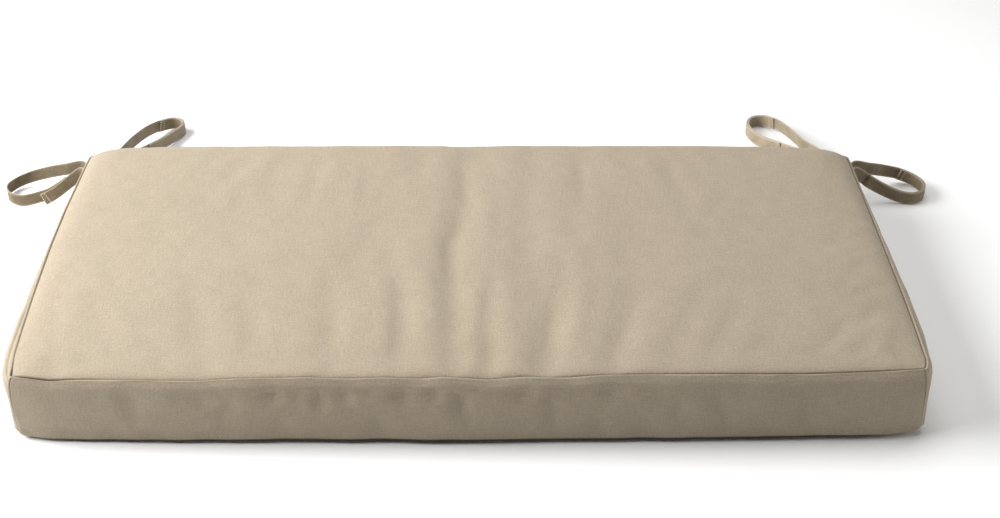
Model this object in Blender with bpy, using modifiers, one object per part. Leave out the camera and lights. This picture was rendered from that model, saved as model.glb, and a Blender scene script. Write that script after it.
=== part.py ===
"""Box-edge bench cushion with four tie loops, lying on its underside.

The cushion is one filled solid: a crowned top panel, a boxing that swells between
the top and bottom seams, and a flat underside. Each back corner carries two loops,
and each loop is a long and a short strap of folded cloth, closed on each other.
Metres, +Z up, +Y towards the back edge, origin at the middle of the underside.
"""

import math
from collections.abc import Callable
from functools import partial
from typing import NamedTuple

import bmesh
import bpy
import numpy as np
from mathutils import Matrix, Vector
from mathutils.bvhtree import BVHTree

# Cushion
WIDTH = 1.143
DEPTH = 0.508
SEAM_HEIGHT = 0.098
BOTTOM_SEAM_HEIGHT = 0.004
CROWN = 0.014
CROWN_ROLL = 0.022
SIDE_BOW = 0.009
END_BOW = 0.008
SWELL = 0.007
FLARE = 0.008
CORNER_HOLD = 0.6
CORNER_HOLD_POWER = 6
SEAM_CREASE = 0.7
SEAM_DIP = 0.004
SEAM_DIP_POWER = 4
FOLD_FADE = 0.03

# How close to a face of the plain box a point counts as on it, as a share of its size
ON_FACE = 0.001

# How far each top corner stands above or below the seam height
FRONT_LEFT_LIFT = 0.000
FRONT_RIGHT_LIFT = 0.005
BACK_LEFT_LIFT = 0.003
BACK_RIGHT_LIFT = -0.001

# Cuts of the coarse cage, as distances in from an edge or as places across
EDGE_CUTS = (0.018, 0.048, 0.105, 0.185, 0.275, 0.365)
FOLD_CUTS_FROM = -0.120
FOLD_CUTS_TO = 0.218
FOLD_CUT_STEP = 0.026
DEPTH_CUTS = (0.018, 0.048, 0.100, 0.175)
BOXING_CUTS = (0.014, 0.036, 0.062, 0.084)

# Straps
STRAP_WIDTH = 0.020
STRAP_THICKNESS = 0.002
LAP_GAP = 0.0008
ROOT_CLEARANCE = 0.00135
ROOT_HEIGHT = 0.060
NECK = 0.007
SIGHT = 0.2
LAP_FADE_FROM = 0.014
LAP_FADE_OVER = 0.034
STRAP_STEP = 0.0075
PLY_PITCH = 0.0030
LINE_SAMPLES = 800

CLOTH_COLOUR = (0.56, 0.48, 0.37, 1.0)
STRAP_COLOUR = (0.38, 0.32, 0.23, 1.0)
CLOTH_ROUGHNESS = 0.95


class Fold(NamedTuple):
    """A soft front-to-back fold of the top panel; a negative rise is a valley."""

    front_x: float
    back_x: float
    half_width: float
    rise: float
    fades_at_y: float


FOLDS = (
    Fold(-0.107, -0.092, 0.017, -0.0020, 0.02),
    Fold(-0.068, -0.072, 0.015, 0.0012, -0.02),
    Fold(-0.050, -0.024, 0.017, -0.0030, 0.30),
    Fold(-0.003, -0.006, 0.012, 0.0014, 0.14),
    Fold(0.018, 0.013, 0.011, -0.0018, 0.10),
    Fold(0.036, 0.036, 0.011, 0.0012, 0.10),
    Fold(0.062, 0.058, 0.018, -0.0028, 0.12),
    Fold(0.117, 0.121, 0.020, 0.0018, 0.06),
    Fold(0.157, 0.161, 0.017, -0.0022, 0.08),
    Fold(0.205, 0.212, 0.018, 0.0012, 0.00),
)


class Stop(NamedTuple):
    """A place on a loop's middle line, measured from the foot of its back corner."""

    aside: float
    behind: float
    height: float


class Loop(NamedTuple):
    """One tie loop, from the long strap's root round to the short strap's root."""

    name: str
    side: int
    long_ply: float
    short_ply: float
    stops: tuple[Stop, ...]
    short_length: float
    long_stops_short_by: float
    short_outside: int
    droop: float


LOOPS = (
    Loop(
        name="side_tie_left",
        side=-1,
        long_ply=0.5,
        short_ply=1.5,
        stops=(
            Stop(0.026, 0.049, 0.0540),
            Stop(0.057, 0.061, 0.0420),
            Stop(0.090, 0.074, 0.0280),
            Stop(0.123, 0.077, 0.0165),
            Stop(0.142, 0.067, 0.0134),
            Stop(0.151, 0.050, 0.0130),
            Stop(0.144, 0.030, 0.0130),
            Stop(0.122, 0.019, 0.0131),
            Stop(0.095, 0.022, 0.0160),
            Stop(0.078, 0.021, 0.0220),
            Stop(0.061, 0.024, 0.0305),
            Stop(0.042, 0.030, 0.0410),
            Stop(0.024, 0.029, 0.0560),
        ),
        short_length=0.112,
        long_stops_short_by=0.062,
        short_outside=1,
        droop=0.005,
    ),
    Loop(
        name="side_tie_right",
        side=1,
        long_ply=0.5,
        short_ply=1.5,
        stops=(
            Stop(0.022, 0.044, 0.0540),
            Stop(0.051, 0.056, 0.0420),
            Stop(0.082, 0.072, 0.0280),
            Stop(0.110, 0.078, 0.0165),
            Stop(0.129, 0.069, 0.0134),
            Stop(0.140, 0.048, 0.0130),
            Stop(0.134, 0.026, 0.0130),
            Stop(0.117, 0.016, 0.0130),
            Stop(0.098, 0.018, 0.0136),
            Stop(0.079, 0.022, 0.0185),
            Stop(0.056, 0.025, 0.0300),
            Stop(0.035, 0.024, 0.0440),
            Stop(0.021, 0.022, 0.0550),
        ),
        short_length=0.232,
        long_stops_short_by=0.055,
        short_outside=-1,
        droop=0.000,
    ),
    Loop(
        name="back_tie_left",
        side=-1,
        long_ply=-0.5,
        short_ply=-1.5,
        stops=(
            Stop(-0.022, 0.088, 0.0520),
            Stop(-0.031, 0.156, 0.0360),
            Stop(-0.044, 0.209, 0.0230),
            Stop(-0.061, 0.240, 0.0150),
            Stop(-0.077, 0.252, 0.0132),
            Stop(-0.092, 0.247, 0.0130),
            Stop(-0.096, 0.232, 0.0130),
            Stop(-0.084, 0.207, 0.0136),
            Stop(-0.070, 0.176, 0.0175),
            Stop(-0.053, 0.135, 0.0280),
            Stop(-0.036, 0.085, 0.0440),
            Stop(-0.020, 0.043, 0.0550),
        ),
        short_length=0.318,
        long_stops_short_by=0.150,
        short_outside=-1,
        droop=0.000,
    ),
    Loop(
        name="back_tie_right",
        side=1,
        long_ply=-0.5,
        short_ply=-1.5,
        stops=(
            Stop(-0.024, 0.077, 0.0540),
            Stop(-0.038, 0.128, 0.0400),
            Stop(-0.051, 0.194, 0.0250),
            Stop(-0.064, 0.235, 0.0160),
            Stop(-0.082, 0.254, 0.0133),
            Stop(-0.101, 0.252, 0.0130),
            Stop(-0.113, 0.233, 0.0130),
            Stop(-0.109, 0.206, 0.0132),
            Stop(-0.095, 0.180, 0.0148),
            Stop(-0.075, 0.148, 0.0230),
            Stop(-0.055, 0.104, 0.0380),
            Stop(-0.032, 0.055, 0.0520),
        ),
        short_length=0.330,
        long_stops_short_by=0.160,
        short_outside=-1,
        droop=0.000,
    ),
)


def clear_scene() -> None:
    """Remove every object of the scene."""
    for obj in list(bpy.data.objects):
        bpy.data.objects.remove(obj, do_unlink=True)


def make_material(name: str, colour: tuple[float, ...]) -> bpy.types.Material:
    """A plain cloth material of one colour."""
    material = bpy.data.materials.new(name)
    material.use_nodes = True
    shader = material.node_tree.nodes["Principled BSDF"]
    shader.inputs["Base Color"].default_value = colour
    shader.inputs["Roughness"].default_value = CLOTH_ROUGHNESS
    shader.inputs["Metallic"].default_value = 0.0
    return material


def corner_lift(across: float, along: float) -> float:
    """The four corner lifts, blended over the panel; both places run from -1 to 1."""
    right = (across + 1) / 2
    back = (along + 1) / 2
    front_lift = FRONT_LEFT_LIFT * (1 - right) + FRONT_RIGHT_LIFT * right
    back_lift = BACK_LEFT_LIFT * (1 - right) + BACK_RIGHT_LIFT * right
    return front_lift * (1 - back) + back_lift * back


def seam_height(across: float, along: float) -> float:
    """Height of the top seam, which dips a little between the corners."""
    at_corner = abs(across * along) ** SEAM_DIP_POWER
    return SEAM_HEIGHT + corner_lift(across, along) - SEAM_DIP * (1 - at_corner)


def belly(share: float) -> float:
    """How far the boxing stands out at a share of its height, 0 at the bottom seam."""
    return SWELL * math.sin(math.pi * share) + FLARE * (1 - share)


def dome(x: float, y: float) -> float:
    """Rise of the crown at a place, 0 on the seams and near 1 in the middle."""
    in_x = max(WIDTH / 2 - abs(x), 0.0)
    in_y = max(DEPTH / 2 - abs(y), 0.0)
    return (1 - math.exp(-in_x / CROWN_ROLL)) * (1 - math.exp(-in_y / CROWN_ROLL))


def folded(x: float, y: float) -> float:
    """Rise or fall of the top panel by its soft front-to-back folds."""
    rise = 0.0
    for fold in FOLDS:
        middle = fold.front_x + (fold.back_x - fold.front_x) * (y / DEPTH + 0.5)
        across = math.exp(-(((x - middle) / fold.half_width) ** 2))
        fade = 1 / (1 + math.exp((y - fold.fades_at_y) / FOLD_FADE))
        rise += fold.rise * across * fade
    return rise


def shaped(corner: Vector) -> Vector:
    """Where a point of the plain box goes on the filled cushion."""
    across = corner.x / (WIDTH / 2)
    along = corner.y / (DEPTH / 2)
    share = corner.z / SEAM_HEIGHT
    out = belly(share)
    hold_x = 1 - CORNER_HOLD * abs(along) ** CORNER_HOLD_POWER
    hold_y = 1 - CORNER_HOLD * abs(across) ** CORNER_HOLD_POWER
    x = across * (WIDTH / 2 + SIDE_BOW * (1 - along**2) + out * hold_x)
    y = along * (DEPTH / 2 + END_BOW * (1 - across**2) + out * hold_y)
    top = seam_height(across, along)
    if share > 1 - ON_FACE:
        return Vector((x, y, top + CROWN * dome(corner.x, corner.y) + folded(x, y)))
    if max(abs(across), abs(along)) > 1 - ON_FACE:
        return Vector((x, y, BOTTOM_SEAM_HEIGHT + (top - BOTTOM_SEAM_HEIGHT) * share))
    return Vector((corner.x, corner.y, 0.0))


def cage_cuts() -> list[tuple[int, float]]:
    """The planes that cut the plain box into the coarse cage, as (axis, place)."""
    cuts = []
    for inset in EDGE_CUTS:
        cuts.append((0, inset - WIDTH / 2))
        cuts.append((0, WIDTH / 2 - inset))
    count = int((FOLD_CUTS_TO - FOLD_CUTS_FROM) / FOLD_CUT_STEP) + 1
    cuts += [(0, FOLD_CUTS_FROM + FOLD_CUT_STEP * i) for i in range(count)]
    for inset in DEPTH_CUTS:
        cuts.append((1, inset - DEPTH / 2))
        cuts.append((1, DEPTH / 2 - inset))
    cuts.append((1, 0.0))
    cuts += [(2, height) for height in BOXING_CUTS]
    return cuts


def is_seam(edge: bmesh.types.BMEdge) -> bool:
    """Whether a cage edge of the plain box lies where two panels are sewn together."""
    half = (WIDTH / 2, DEPTH / 2, SEAM_HEIGHT / 2)
    middle = Vector((0.0, 0.0, SEAM_HEIGHT / 2))
    first, second = (vert.co - middle for vert in edge.verts)
    faces = 0
    for axis in range(3):
        nearer = min(abs(first[axis]), abs(second[axis]))
        faces += nearer > half[axis] * (1 - ON_FACE)
    return faces == 2


def make_cushion(collection: bpy.types.Collection) -> bpy.types.Object:
    """The filled cushion, from a cut box that is shaped, creased and subdivided."""
    bm = bmesh.new()
    bmesh.ops.create_cube(bm, size=1.0)
    scale = Matrix.Diagonal((WIDTH, DEPTH, SEAM_HEIGHT, 1.0))
    bmesh.ops.transform(bm, matrix=scale, verts=bm.verts)
    bmesh.ops.translate(bm, vec=(0.0, 0.0, SEAM_HEIGHT / 2), verts=bm.verts)
    for axis, place in cage_cuts():
        point = [0.0, 0.0, 0.0]
        normal = [0.0, 0.0, 0.0]
        point[axis] = place
        normal[axis] = 1.0
        everything = bm.verts[:] + bm.edges[:] + bm.faces[:]
        bmesh.ops.bisect_plane(bm, geom=everything, plane_co=point, plane_no=normal)
    crease = bm.edges.layers.float.new("crease_edge")
    for edge in bm.edges:
        if is_seam(edge):
            edge[crease] = SEAM_CREASE
    for vert in bm.verts:
        vert.co = shaped(vert.co)
    mesh = bpy.data.meshes.new("cushion")
    bm.to_mesh(mesh)
    bm.free()
    mesh.shade_smooth()
    mesh.materials.append(make_material("cushion cloth", CLOTH_COLOUR))
    cushion = bpy.data.objects.new("cushion", mesh)
    collection.objects.link(cushion)
    smooth = cushion.modifiers.new("Soft form", "SUBSURF")
    smooth.levels = 1
    smooth.render_levels = 1
    return cushion


def smooth_line(points: list[Vector], step: float) -> np.ndarray:
    """Points a step apart on the smooth curve that passes through the given ones."""
    given = np.asarray(points, float)
    spans = np.sqrt(np.linalg.norm(np.diff(given, axis=0), axis=1))
    knots = np.concatenate([[0.0], np.cumsum(spans)])
    slopes = np.gradient(given, knots, axis=0)
    fine = np.linspace(0.0, knots[-1], LINE_SAMPLES)
    piece = np.clip(np.searchsorted(knots, fine, side="right") - 1, 0, len(given) - 2)
    width = knots[piece + 1] - knots[piece]
    share = (fine - knots[piece]) / width
    start = (2 * share**3 - 3 * share**2 + 1)[:, None] * given[piece]
    leave = ((share**3 - 2 * share**2 + share) * width)[:, None] * slopes[piece]
    end = (3 * share**2 - 2 * share**3)[:, None] * given[piece + 1]
    arrive = ((share**3 - share**2) * width)[:, None] * slopes[piece + 1]
    line = start + leave + end + arrive
    length = np.concatenate([[0.0], np.cumsum(np.linalg.norm(np.diff(line, axis=0), axis=1))])
    count = max(int(round(length[-1] / step)), 2)
    marks = np.linspace(0.0, length[-1], count + 1)
    return np.stack([np.interp(marks, length, line[:, axis]) for axis in range(3)], axis=1)


def off_seam(
    height: float,
    cushion_tree: BVHTree,
    side: int,
    ply: float,
    clearance: float = ROOT_CLEARANCE,
) -> Vector:
    """The place at a height that a ply has when it is this far off a back corner's seam."""
    outward = Vector((side, 1.0, 0.0)).normalized()
    along_seam = Vector((side, -1.0, 0.0)).normalized()
    start = Vector((side * WIDTH / 2, DEPTH / 2, height)) + outward * SIGHT
    start += along_seam * (ply * PLY_PITCH)
    hit = cushion_tree.ray_cast(start, -outward)[0]
    return hit + outward * clearance


def loop_line(loop: Loop, cushion_tree: BVHTree) -> np.ndarray:
    """The whole middle line of a loop, from the long strap's root to the short one's."""
    ends = []
    for ply in (loop.long_ply, loop.short_ply):
        for clearance in (ROOT_CLEARANCE, NECK):
            ends.append(off_seam(ROOT_HEIGHT, cushion_tree, loop.side, ply, clearance))
    points = ends[:2]
    for stop in loop.stops:
        x = loop.side * (WIDTH / 2 + stop.aside)
        points.append(Vector((x, DEPTH / 2 + stop.behind, stop.height)))
    points += [ends[3], ends[2]]
    return smooth_line(points, STRAP_STEP)


def frames_along(line: np.ndarray) -> tuple[np.ndarray, np.ndarray]:
    """The strap's upright at each point of a line, and its flat side's normal there."""
    ahead = np.gradient(line, axis=0)
    ahead /= np.linalg.norm(ahead, axis=1)[:, None]
    upright = np.array([0.0, 0.0, 1.0]) - ahead[:, 2:3] * ahead
    upright /= np.linalg.norm(upright, axis=1)[:, None]
    return upright, np.cross(ahead, upright)


def make_strap(
    name: str,
    line: np.ndarray,
    seat: Callable[[float], Vector],
    collection: bpy.types.Collection,
    material: bpy.types.Material,
) -> bpy.types.Object:
    """A flat strap that stands on edge along a line: a ribbon given its thickness.

    The seat takes a height and gives where the sewn end lies there, so that the end
    follows the slope of the corner seam.
    """
    upright = frames_along(line)[0]
    rows = len(line)
    sewn_row = 0 if line[0][2] > line[-1][2] else rows - 1
    bm = bmesh.new()
    bmesh.ops.create_grid(bm, x_segments=rows - 1, y_segments=1, size=0.5)
    for vert in bm.verts:
        row = int(round((vert.co.x + 0.5) * (rows - 1)))
        edge = math.copysign(STRAP_WIDTH / 2, vert.co.y)
        vert.co = Vector(line[row] + upright[row] * edge)
        if row == sewn_row:
            vert.co = seat(vert.co.z)
    mesh = bpy.data.meshes.new(name)
    bm.to_mesh(mesh)
    bm.free()
    mesh.materials.append(material)
    strap = bpy.data.objects.new(name, mesh)
    collection.objects.link(strap)
    wall = strap.modifiers.new("Folded cloth", "SOLIDIFY")
    wall.thickness = STRAP_THICKNESS
    wall.offset = 0.0
    return strap


def make_loop(
    loop: Loop,
    cushion_tree: BVHTree,
    collection: bpy.types.Collection,
    material: bpy.types.Material,
) -> None:
    """Both straps of a loop; where they lap, the short one lies beside the long one."""
    line = loop_line(loop, cushion_tree)
    normal = frames_along(line)[1]
    left_out = int(round(loop.long_stops_short_by / STRAP_STEP))
    seat = partial(off_seam, cushion_tree=cushion_tree, side=loop.side, ply=loop.long_ply)
    make_strap(f"{loop.name}_long", line[:-left_out], seat, collection, material)
    kept = int(round(loop.short_length / STRAP_STEP))
    short = line[-kept - 1 :].copy()
    out = normal[-kept - 1 :]
    far = len(line) // 2
    facing_out = np.sign((line[far] - line.mean(axis=0)) @ normal[far])
    from_root = np.arange(kept, -1, -1) * STRAP_STEP
    lapped = np.clip((from_root - LAP_FADE_FROM) / LAP_FADE_OVER, 0.0, 1.0)
    pitch = STRAP_THICKNESS + LAP_GAP
    short += out * (facing_out * loop.short_outside * pitch * lapped)[:, None]
    short[:, 2] -= loop.droop * (from_root / from_root[0]) ** 2
    seat = partial(off_seam, cushion_tree=cushion_tree, side=loop.side, ply=loop.short_ply)
    make_strap(f"{loop.name}_short", short, seat, collection, material)


def main() -> None:
    """Build the cushion, then the eight straps of its four loops."""
    clear_scene()
    collection = bpy.data.collections.new("bench cushion")
    bpy.context.scene.collection.children.link(collection)
    cushion = make_cushion(collection)
    bpy.context.view_layer.update()
    graph = bpy.context.evaluated_depsgraph_get()
    cushion_tree = BVHTree.FromObject(cushion, graph)
    material = make_material("strap cloth", STRAP_COLOUR)
    for loop in LOOPS:
        make_loop(loop, cushion_tree, collection, material)


main()
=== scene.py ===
import logging
import math
from collections.abc import Sequence
from dataclasses import dataclass, replace
from enum import Enum
from typing import Any, NamedTuple

import bpy
import numpy as np
from mathutils import Matrix, Vector


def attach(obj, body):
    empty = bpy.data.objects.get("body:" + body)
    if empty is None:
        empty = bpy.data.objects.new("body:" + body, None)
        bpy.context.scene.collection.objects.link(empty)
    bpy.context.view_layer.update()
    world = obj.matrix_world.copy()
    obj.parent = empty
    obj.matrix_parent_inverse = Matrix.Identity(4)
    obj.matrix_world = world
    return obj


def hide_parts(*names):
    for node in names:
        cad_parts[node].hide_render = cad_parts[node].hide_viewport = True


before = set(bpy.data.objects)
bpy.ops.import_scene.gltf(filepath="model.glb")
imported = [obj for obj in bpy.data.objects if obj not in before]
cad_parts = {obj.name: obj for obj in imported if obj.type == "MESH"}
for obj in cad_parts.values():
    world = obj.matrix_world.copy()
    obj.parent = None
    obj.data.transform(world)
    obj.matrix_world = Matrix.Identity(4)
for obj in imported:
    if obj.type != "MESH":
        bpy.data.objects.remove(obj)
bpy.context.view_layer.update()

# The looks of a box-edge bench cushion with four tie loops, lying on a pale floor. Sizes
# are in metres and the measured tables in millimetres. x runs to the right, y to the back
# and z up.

Colour = tuple[float, float, float, float]
Place = tuple[float, float, float]
Corners = tuple[float, float, float, float]
Array = np.ndarray
Arrays = tuple[Array, Array]
Material = bpy.types.Material
Piece = bpy.types.Object

LOG = logging.getLogger("bench cushion")
BODY = "root"
UV_NAME = "cloth"
# The point attribute of painted light: shade in the cover's grooves, and the straps'
# lighter edges, partly wear and partly painted highlight
WEAR_AND_PAINTED_LIGHT_NAME = "seam"
# What lies nearer to a seam than this is on it
TOUCHING = 1e-7
# The units of a table's values: millimetres in a metre, or plain shares
PER_METRE = 1000.0
SHARE = 1.0
# How far apart the panels lie on the flat cloth, so that no two have the same patches
AXES_APART = 2.0
SIDES_APART = 0.7


# ---------------------------------------------------------------- shader maths


class Socket:
    """A value in a node tree; sums and products of it add their Math nodes."""

    def __init__(self, tree: "Shader", link: Any) -> None:
        """Wrap one output socket.

        Args:
            tree: The shader that the socket belongs to.
            link: The output socket itself.
        """
        self.tree = tree
        self.link = link

    def _with(self, operation: str, first: Any, second: Any) -> "Socket":
        """The result of one Math node on two values or sockets."""
        made = self.tree.node("ShaderNodeMath", {"operation": operation}, {0: first, 1: second})
        return Socket(self.tree, made.outputs[0])

    def __add__(self, other: Any) -> "Socket":
        """This value plus another."""
        return self._with("ADD", self, other)

    __radd__ = __add__

    def __sub__(self, other: Any) -> "Socket":
        """This value less another."""
        return self._with("SUBTRACT", self, other)

    def __rsub__(self, other: Any) -> "Socket":
        """Another value less this one."""
        return self._with("SUBTRACT", other, self)

    def __mul__(self, other: Any) -> "Socket":
        """This value times another."""
        return self._with("MULTIPLY", self, other)

    __rmul__ = __mul__

    def sine(self) -> "Socket":
        """The sine of this value."""
        return self._with("SINE", self, 0.0)

    def clamped(self) -> "Socket":
        """This value, kept between 0 and 1."""
        made = self.tree.node("ShaderNodeClamp", {}, {"Value": self})
        return Socket(self.tree, made.outputs[0])


class Shader:
    """The node tree of one new material, with its Principled shader."""

    def __init__(self, name: str) -> None:
        """Start a material of this name.

        Args:
            name: The material's name.
        """
        self.material = bpy.data.materials.new(name)
        self.material.use_nodes = True
        self.nodes = self.material.node_tree.nodes
        self.links = self.material.node_tree.links
        self.surface = self.nodes["Principled BSDF"]

    def node(
        self, kind: str, settings: dict[str, Any], sockets: dict[Any, Any]
    ) -> bpy.types.Node:
        """Add one node.

        Args:
            kind: The node's type.
            settings: Its properties, which are set first.
            sockets: Values or links of its inputs, by name or number.

        Returns:
            The new node.
        """
        made = self.nodes.new(kind)
        for key, value in settings.items():
            setattr(made, key, value)
        for key, value in sockets.items():
            self.feed(made.inputs[key], value)
        return made

    def feed(self, target: bpy.types.NodeSocket, value: Any) -> None:
        """Link a socket to an input, or set the input to a plain value.

        Args:
            target: The input.
            value: A socket, or a plain value.
        """
        if isinstance(value, Socket):
            self.links.new(value.link, target)
        elif isinstance(value, bpy.types.NodeSocket):
            self.links.new(value, target)
        else:
            target.default_value = value

    def set(self, **sockets: Any) -> None:
        """Feed inputs of the Principled shader; an underscore in a name is a space."""
        for key, value in sockets.items():
            self.feed(self.surface.inputs[key.replace("_", " ")], value)

    def cloth_place(self) -> tuple[Socket, Socket, Any]:
        """Where a point lies on the flat cloth, in metres.

        Returns:
            The place along the warp, the place along the weft, and both as one vector.
        """
        uv = self.node("ShaderNodeUVMap", {"uv_map": UV_NAME}, {})
        parts = self.node("ShaderNodeSeparateXYZ", {}, {"Vector": uv.outputs[0]})
        return Socket(self, parts.outputs[0]), Socket(self, parts.outputs[1]), uv.outputs[0]

    def noise(self, place: Any, stretch: Sequence[float], detail: float = 2.0) -> Socket:
        """Soft noise on a stretched place.

        Args:
            place: The vector that the noise reads.
            stretch: How many spots there are to a metre, along each axis.
            detail: How many finer layers are added.

        Returns:
            The noise, between 0 and 1 and about a half on average.
        """
        mapping = self.node("ShaderNodeMapping", {}, {"Vector": place, "Scale": tuple(stretch)})
        made = self.node(
            "ShaderNodeTexNoise",
            {"noise_dimensions": "3D"},
            {"Vector": mapping.outputs[0], "Scale": 1.0, "Detail": detail, "Roughness": 0.55},
        )
        return Socket(self, made.outputs[0])

    def bump(self, height: Socket, strength: float = 1.0) -> bpy.types.NodeSocket:
        """The normal that a height in metres gives."""
        sockets = {"Strength": strength, "Distance": 1.0, "Height": height}
        return self.node("ShaderNodeBump", {}, sockets).outputs[0]

    def mix(self, share: Any, first: Any, second: Any) -> bpy.types.NodeSocket:
        """A colour between two others.

        Args:
            share: How much of the second, from 0 to 1.
            first: The colour or link at share 0.
            second: The colour or link at share 1.

        Returns:
            The mixed colour's socket.
        """
        made = self.node("ShaderNodeMix", {"data_type": "RGBA"}, {0: share, 6: first, 7: second})
        return made.outputs[2]

    def attribute(self, name: str) -> Socket:
        """A number that is stored on the mesh's points."""
        made = self.node("ShaderNodeAttribute", {"attribute_name": name}, {})
        return Socket(self, made.outputs["Fac"])


@dataclass(frozen=True)
class CanvasFinish:
    """Plain-woven canvas: one yarn over, one under, with slubs and a soft uneven dye.

    Spots are counted to a metre. A dye is how far from the dark to the light colour the
    thing of its name goes, and a height is in metres. The groove colour is painted light
    mixed in by the seam attribute: painted shade in the cover's grooves and creases, and on
    the straps a lighter edge, partly wear and partly painted highlight. The gap colour is
    the darkest painted shadow, of open seams and the front's bottom seam. The pale one is
    painted light too: what the cloth is mixed towards on its left, where the lamp falls
    strongest.
    """

    name: str
    light: Colour
    dark: Colour
    groove: Colour
    gap: Colour = (0.020, 0.015, 0.010, 1.0)
    # The pale colour and its share are painted light: the cloth made paler on its left,
    # where the lamp falls strongest
    pale: Colour = (0.34, 0.32, 0.31, 1.0)
    fade: float = 0.0
    painted_pale_at_middle: float = 0.25
    painted_pale_to_left: float = 1.3
    patch_spots: float = 26.0
    patch_dye: float = 0.35
    broad_spots: float = 7.0
    broad_dye: float = 0.25
    slub_spots: tuple[float, float] = (900.0, 45.0)
    slub_dye: float = 1.1
    slub_height: float = 0.00014
    fuzz_spots: float = 420.0
    fuzz_dye: float = 2.2
    fuzz_height: float = 0.00028
    yarn: float = 0.00125
    weave_dye: float = 0.06
    weave_height: float = 0.00009
    roughness: float = 0.93
    roughness_range: float = 0.10
    sheen: float = 0.12
    sheen_roughness: float = 0.5
    specular: float = 0.25

    def material(self) -> Material:
        """The cloth's material.

        The weave's height is the product of two sines, one along each yarn, so that
        bumps and hollows take turns. Slubs are noise drawn out along each yarn.

        Returns:
            A material that reads the piece's own cloth map and seam attribute.
        """
        shader = Shader(self.name)
        warp, weft, place = shader.cloth_place()
        turn = math.pi / self.yarn
        weave = (warp * turn).sine() * (weft * turn).sine()
        close, drawn = self.slub_spots
        slub = shader.noise(place, (close, drawn, 1.0)) + shader.noise(place, (drawn, close, 1.0))
        fuzz = shader.noise(place, (self.fuzz_spots, self.fuzz_spots, 1.0), 3.0)
        patch = shader.noise(place, (self.patch_spots, self.patch_spots, 1.0), 3.0)
        broad = shader.noise(place, (self.broad_spots, self.broad_spots, 1.0), 1.0)
        dye = (
            (patch - 0.5) * self.patch_dye
            + (broad - 0.5) * self.broad_dye
            + (slub - 1.0) * self.slub_dye
            + (fuzz - 0.5) * self.fuzz_dye
            + weave * self.weave_dye
            + 0.5
        )
        colour = shader.mix(dye.clamped(), self.dark, self.light)
        # Painted light: mixed towards the pale colour where the warp place is low, its left
        painted_paleness = (self.painted_pale_at_middle - warp * self.painted_pale_to_left).clamped() * self.fade
        colour = shader.mix(painted_paleness, colour, self.pale)
        # Painted light: the groove colour paints shade into the cover's grooves and creases,
        # and the straps' lighter edges, partly wear and partly painted highlight; the gap
        # colour paints the darkest shadow.
        seam = shader.attribute(WEAR_AND_PAINTED_LIGHT_NAME)
        colour = shader.mix(seam.clamped(), colour, self.groove)
        colour = shader.mix((seam - 1.0).clamped(), colour, self.gap)
        height = weave * self.weave_height + slub * self.slub_height + fuzz * self.fuzz_height
        shader.set(
            Base_Color=colour,
            Roughness=(fuzz - 0.5) * self.roughness_range + self.roughness,
            Normal=shader.bump(height),
            Sheen_Weight=self.sheen,
            Sheen_Roughness=self.sheen_roughness,
            Specular_IOR_Level=self.specular,
        )
        return shader.material

    def painted_light_copy(self, name: str, share: float) -> "CanvasFinish":
        """The same canvas under a new name, its three colours times a share as painted light.

        Args:
            name: The new name.
            share: How much of each colour stays.

        Returns:
            The new finish.
        """
        shades = {
            part: (*(share * level for level in getattr(self, part)[:3]), 1.0)
            for part in ("light", "dark", "groove")
        }
        return replace(self, name=name, **shades)


@dataclass(frozen=True)
class ThreadFinish:
    """Twisted sewing thread, with so many turns to a metre."""

    name: str
    light: Colour
    dark: Colour
    twist: float = 1400.0
    relief: float = 0.00003
    relief_strength: float = 0.6
    roughness: float = 0.7

    def material(self) -> Material:
        """The thread's material: two tones in a slanted stripe, with the stripe as relief.

        Returns:
            A material that reads Object coordinates.
        """
        shader = Shader(self.name)
        place = shader.node("ShaderNodeTexCoord", {}, {}).outputs["Object"]
        parts = shader.node("ShaderNodeSeparateXYZ", {}, {"Vector": place})
        x, y, z = (Socket(shader, parts.outputs[axis]) for axis in range(3))
        ply = ((x + y + z) * self.twist * math.tau).sine()
        colour = shader.mix((ply * 0.5 + 0.5).clamped(), self.dark, self.light)
        normal = shader.bump(ply * self.relief, self.relief_strength)
        shader.set(Base_Color=colour, Roughness=self.roughness, Normal=normal)
        return shader.material


COVER = CanvasFinish(
    "cushion canvas",
    light=(0.394, 0.330, 0.247, 1.0),
    dark=(0.290, 0.240, 0.173, 1.0),
    # Painted shade for the cover's grooves, creases and open seams
    groove=(0.130, 0.104, 0.069, 1.0),
    # How much painted light makes the cover paler on its left
    fade=0.35,
)
# The side and back straps are one canvas: painted shade makes the side straps darker,
# and painted light makes the back straps lighter
SHADED_SIDE_STRAP = CanvasFinish(
    "side strap canvas",
    light=(0.228, 0.181, 0.116, 1.0),
    dark=(0.134, 0.101, 0.058, 1.0),
    # The lighter edge colour: partly wear, partly painted highlight
    groove=(0.360, 0.306, 0.224, 1.0),
    yarn=0.0010,
    patch_dye=2.0,
)
LIT_BACK_STRAP = CanvasFinish(
    "back strap canvas",
    light=(0.400, 0.330, 0.235, 1.0),
    dark=(0.245, 0.195, 0.130, 1.0),
    # The lighter edge colour: partly wear, partly painted highlight
    groove=(0.500, 0.440, 0.345, 1.0),
    yarn=0.0010,
    patch_dye=2.0,
)
SEAM_THREAD = ThreadFinish("seam thread", (0.46, 0.38, 0.28, 1.0), (0.34, 0.28, 0.20, 1.0))
STRAP_THREAD = ThreadFinish("strap thread", (0.80, 0.74, 0.62, 1.0), (0.62, 0.55, 0.44, 1.0))
EDGE_THREAD = ThreadFinish("edge thread", (0.50, 0.43, 0.32, 1.0), (0.38, 0.32, 0.23, 1.0))
COVER_MATERIAL = COVER.material()
SHADED_SIDE_STRAP_MATERIAL = SHADED_SIDE_STRAP.material()
LIT_BACK_STRAP_MATERIAL = LIT_BACK_STRAP.material()
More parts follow.
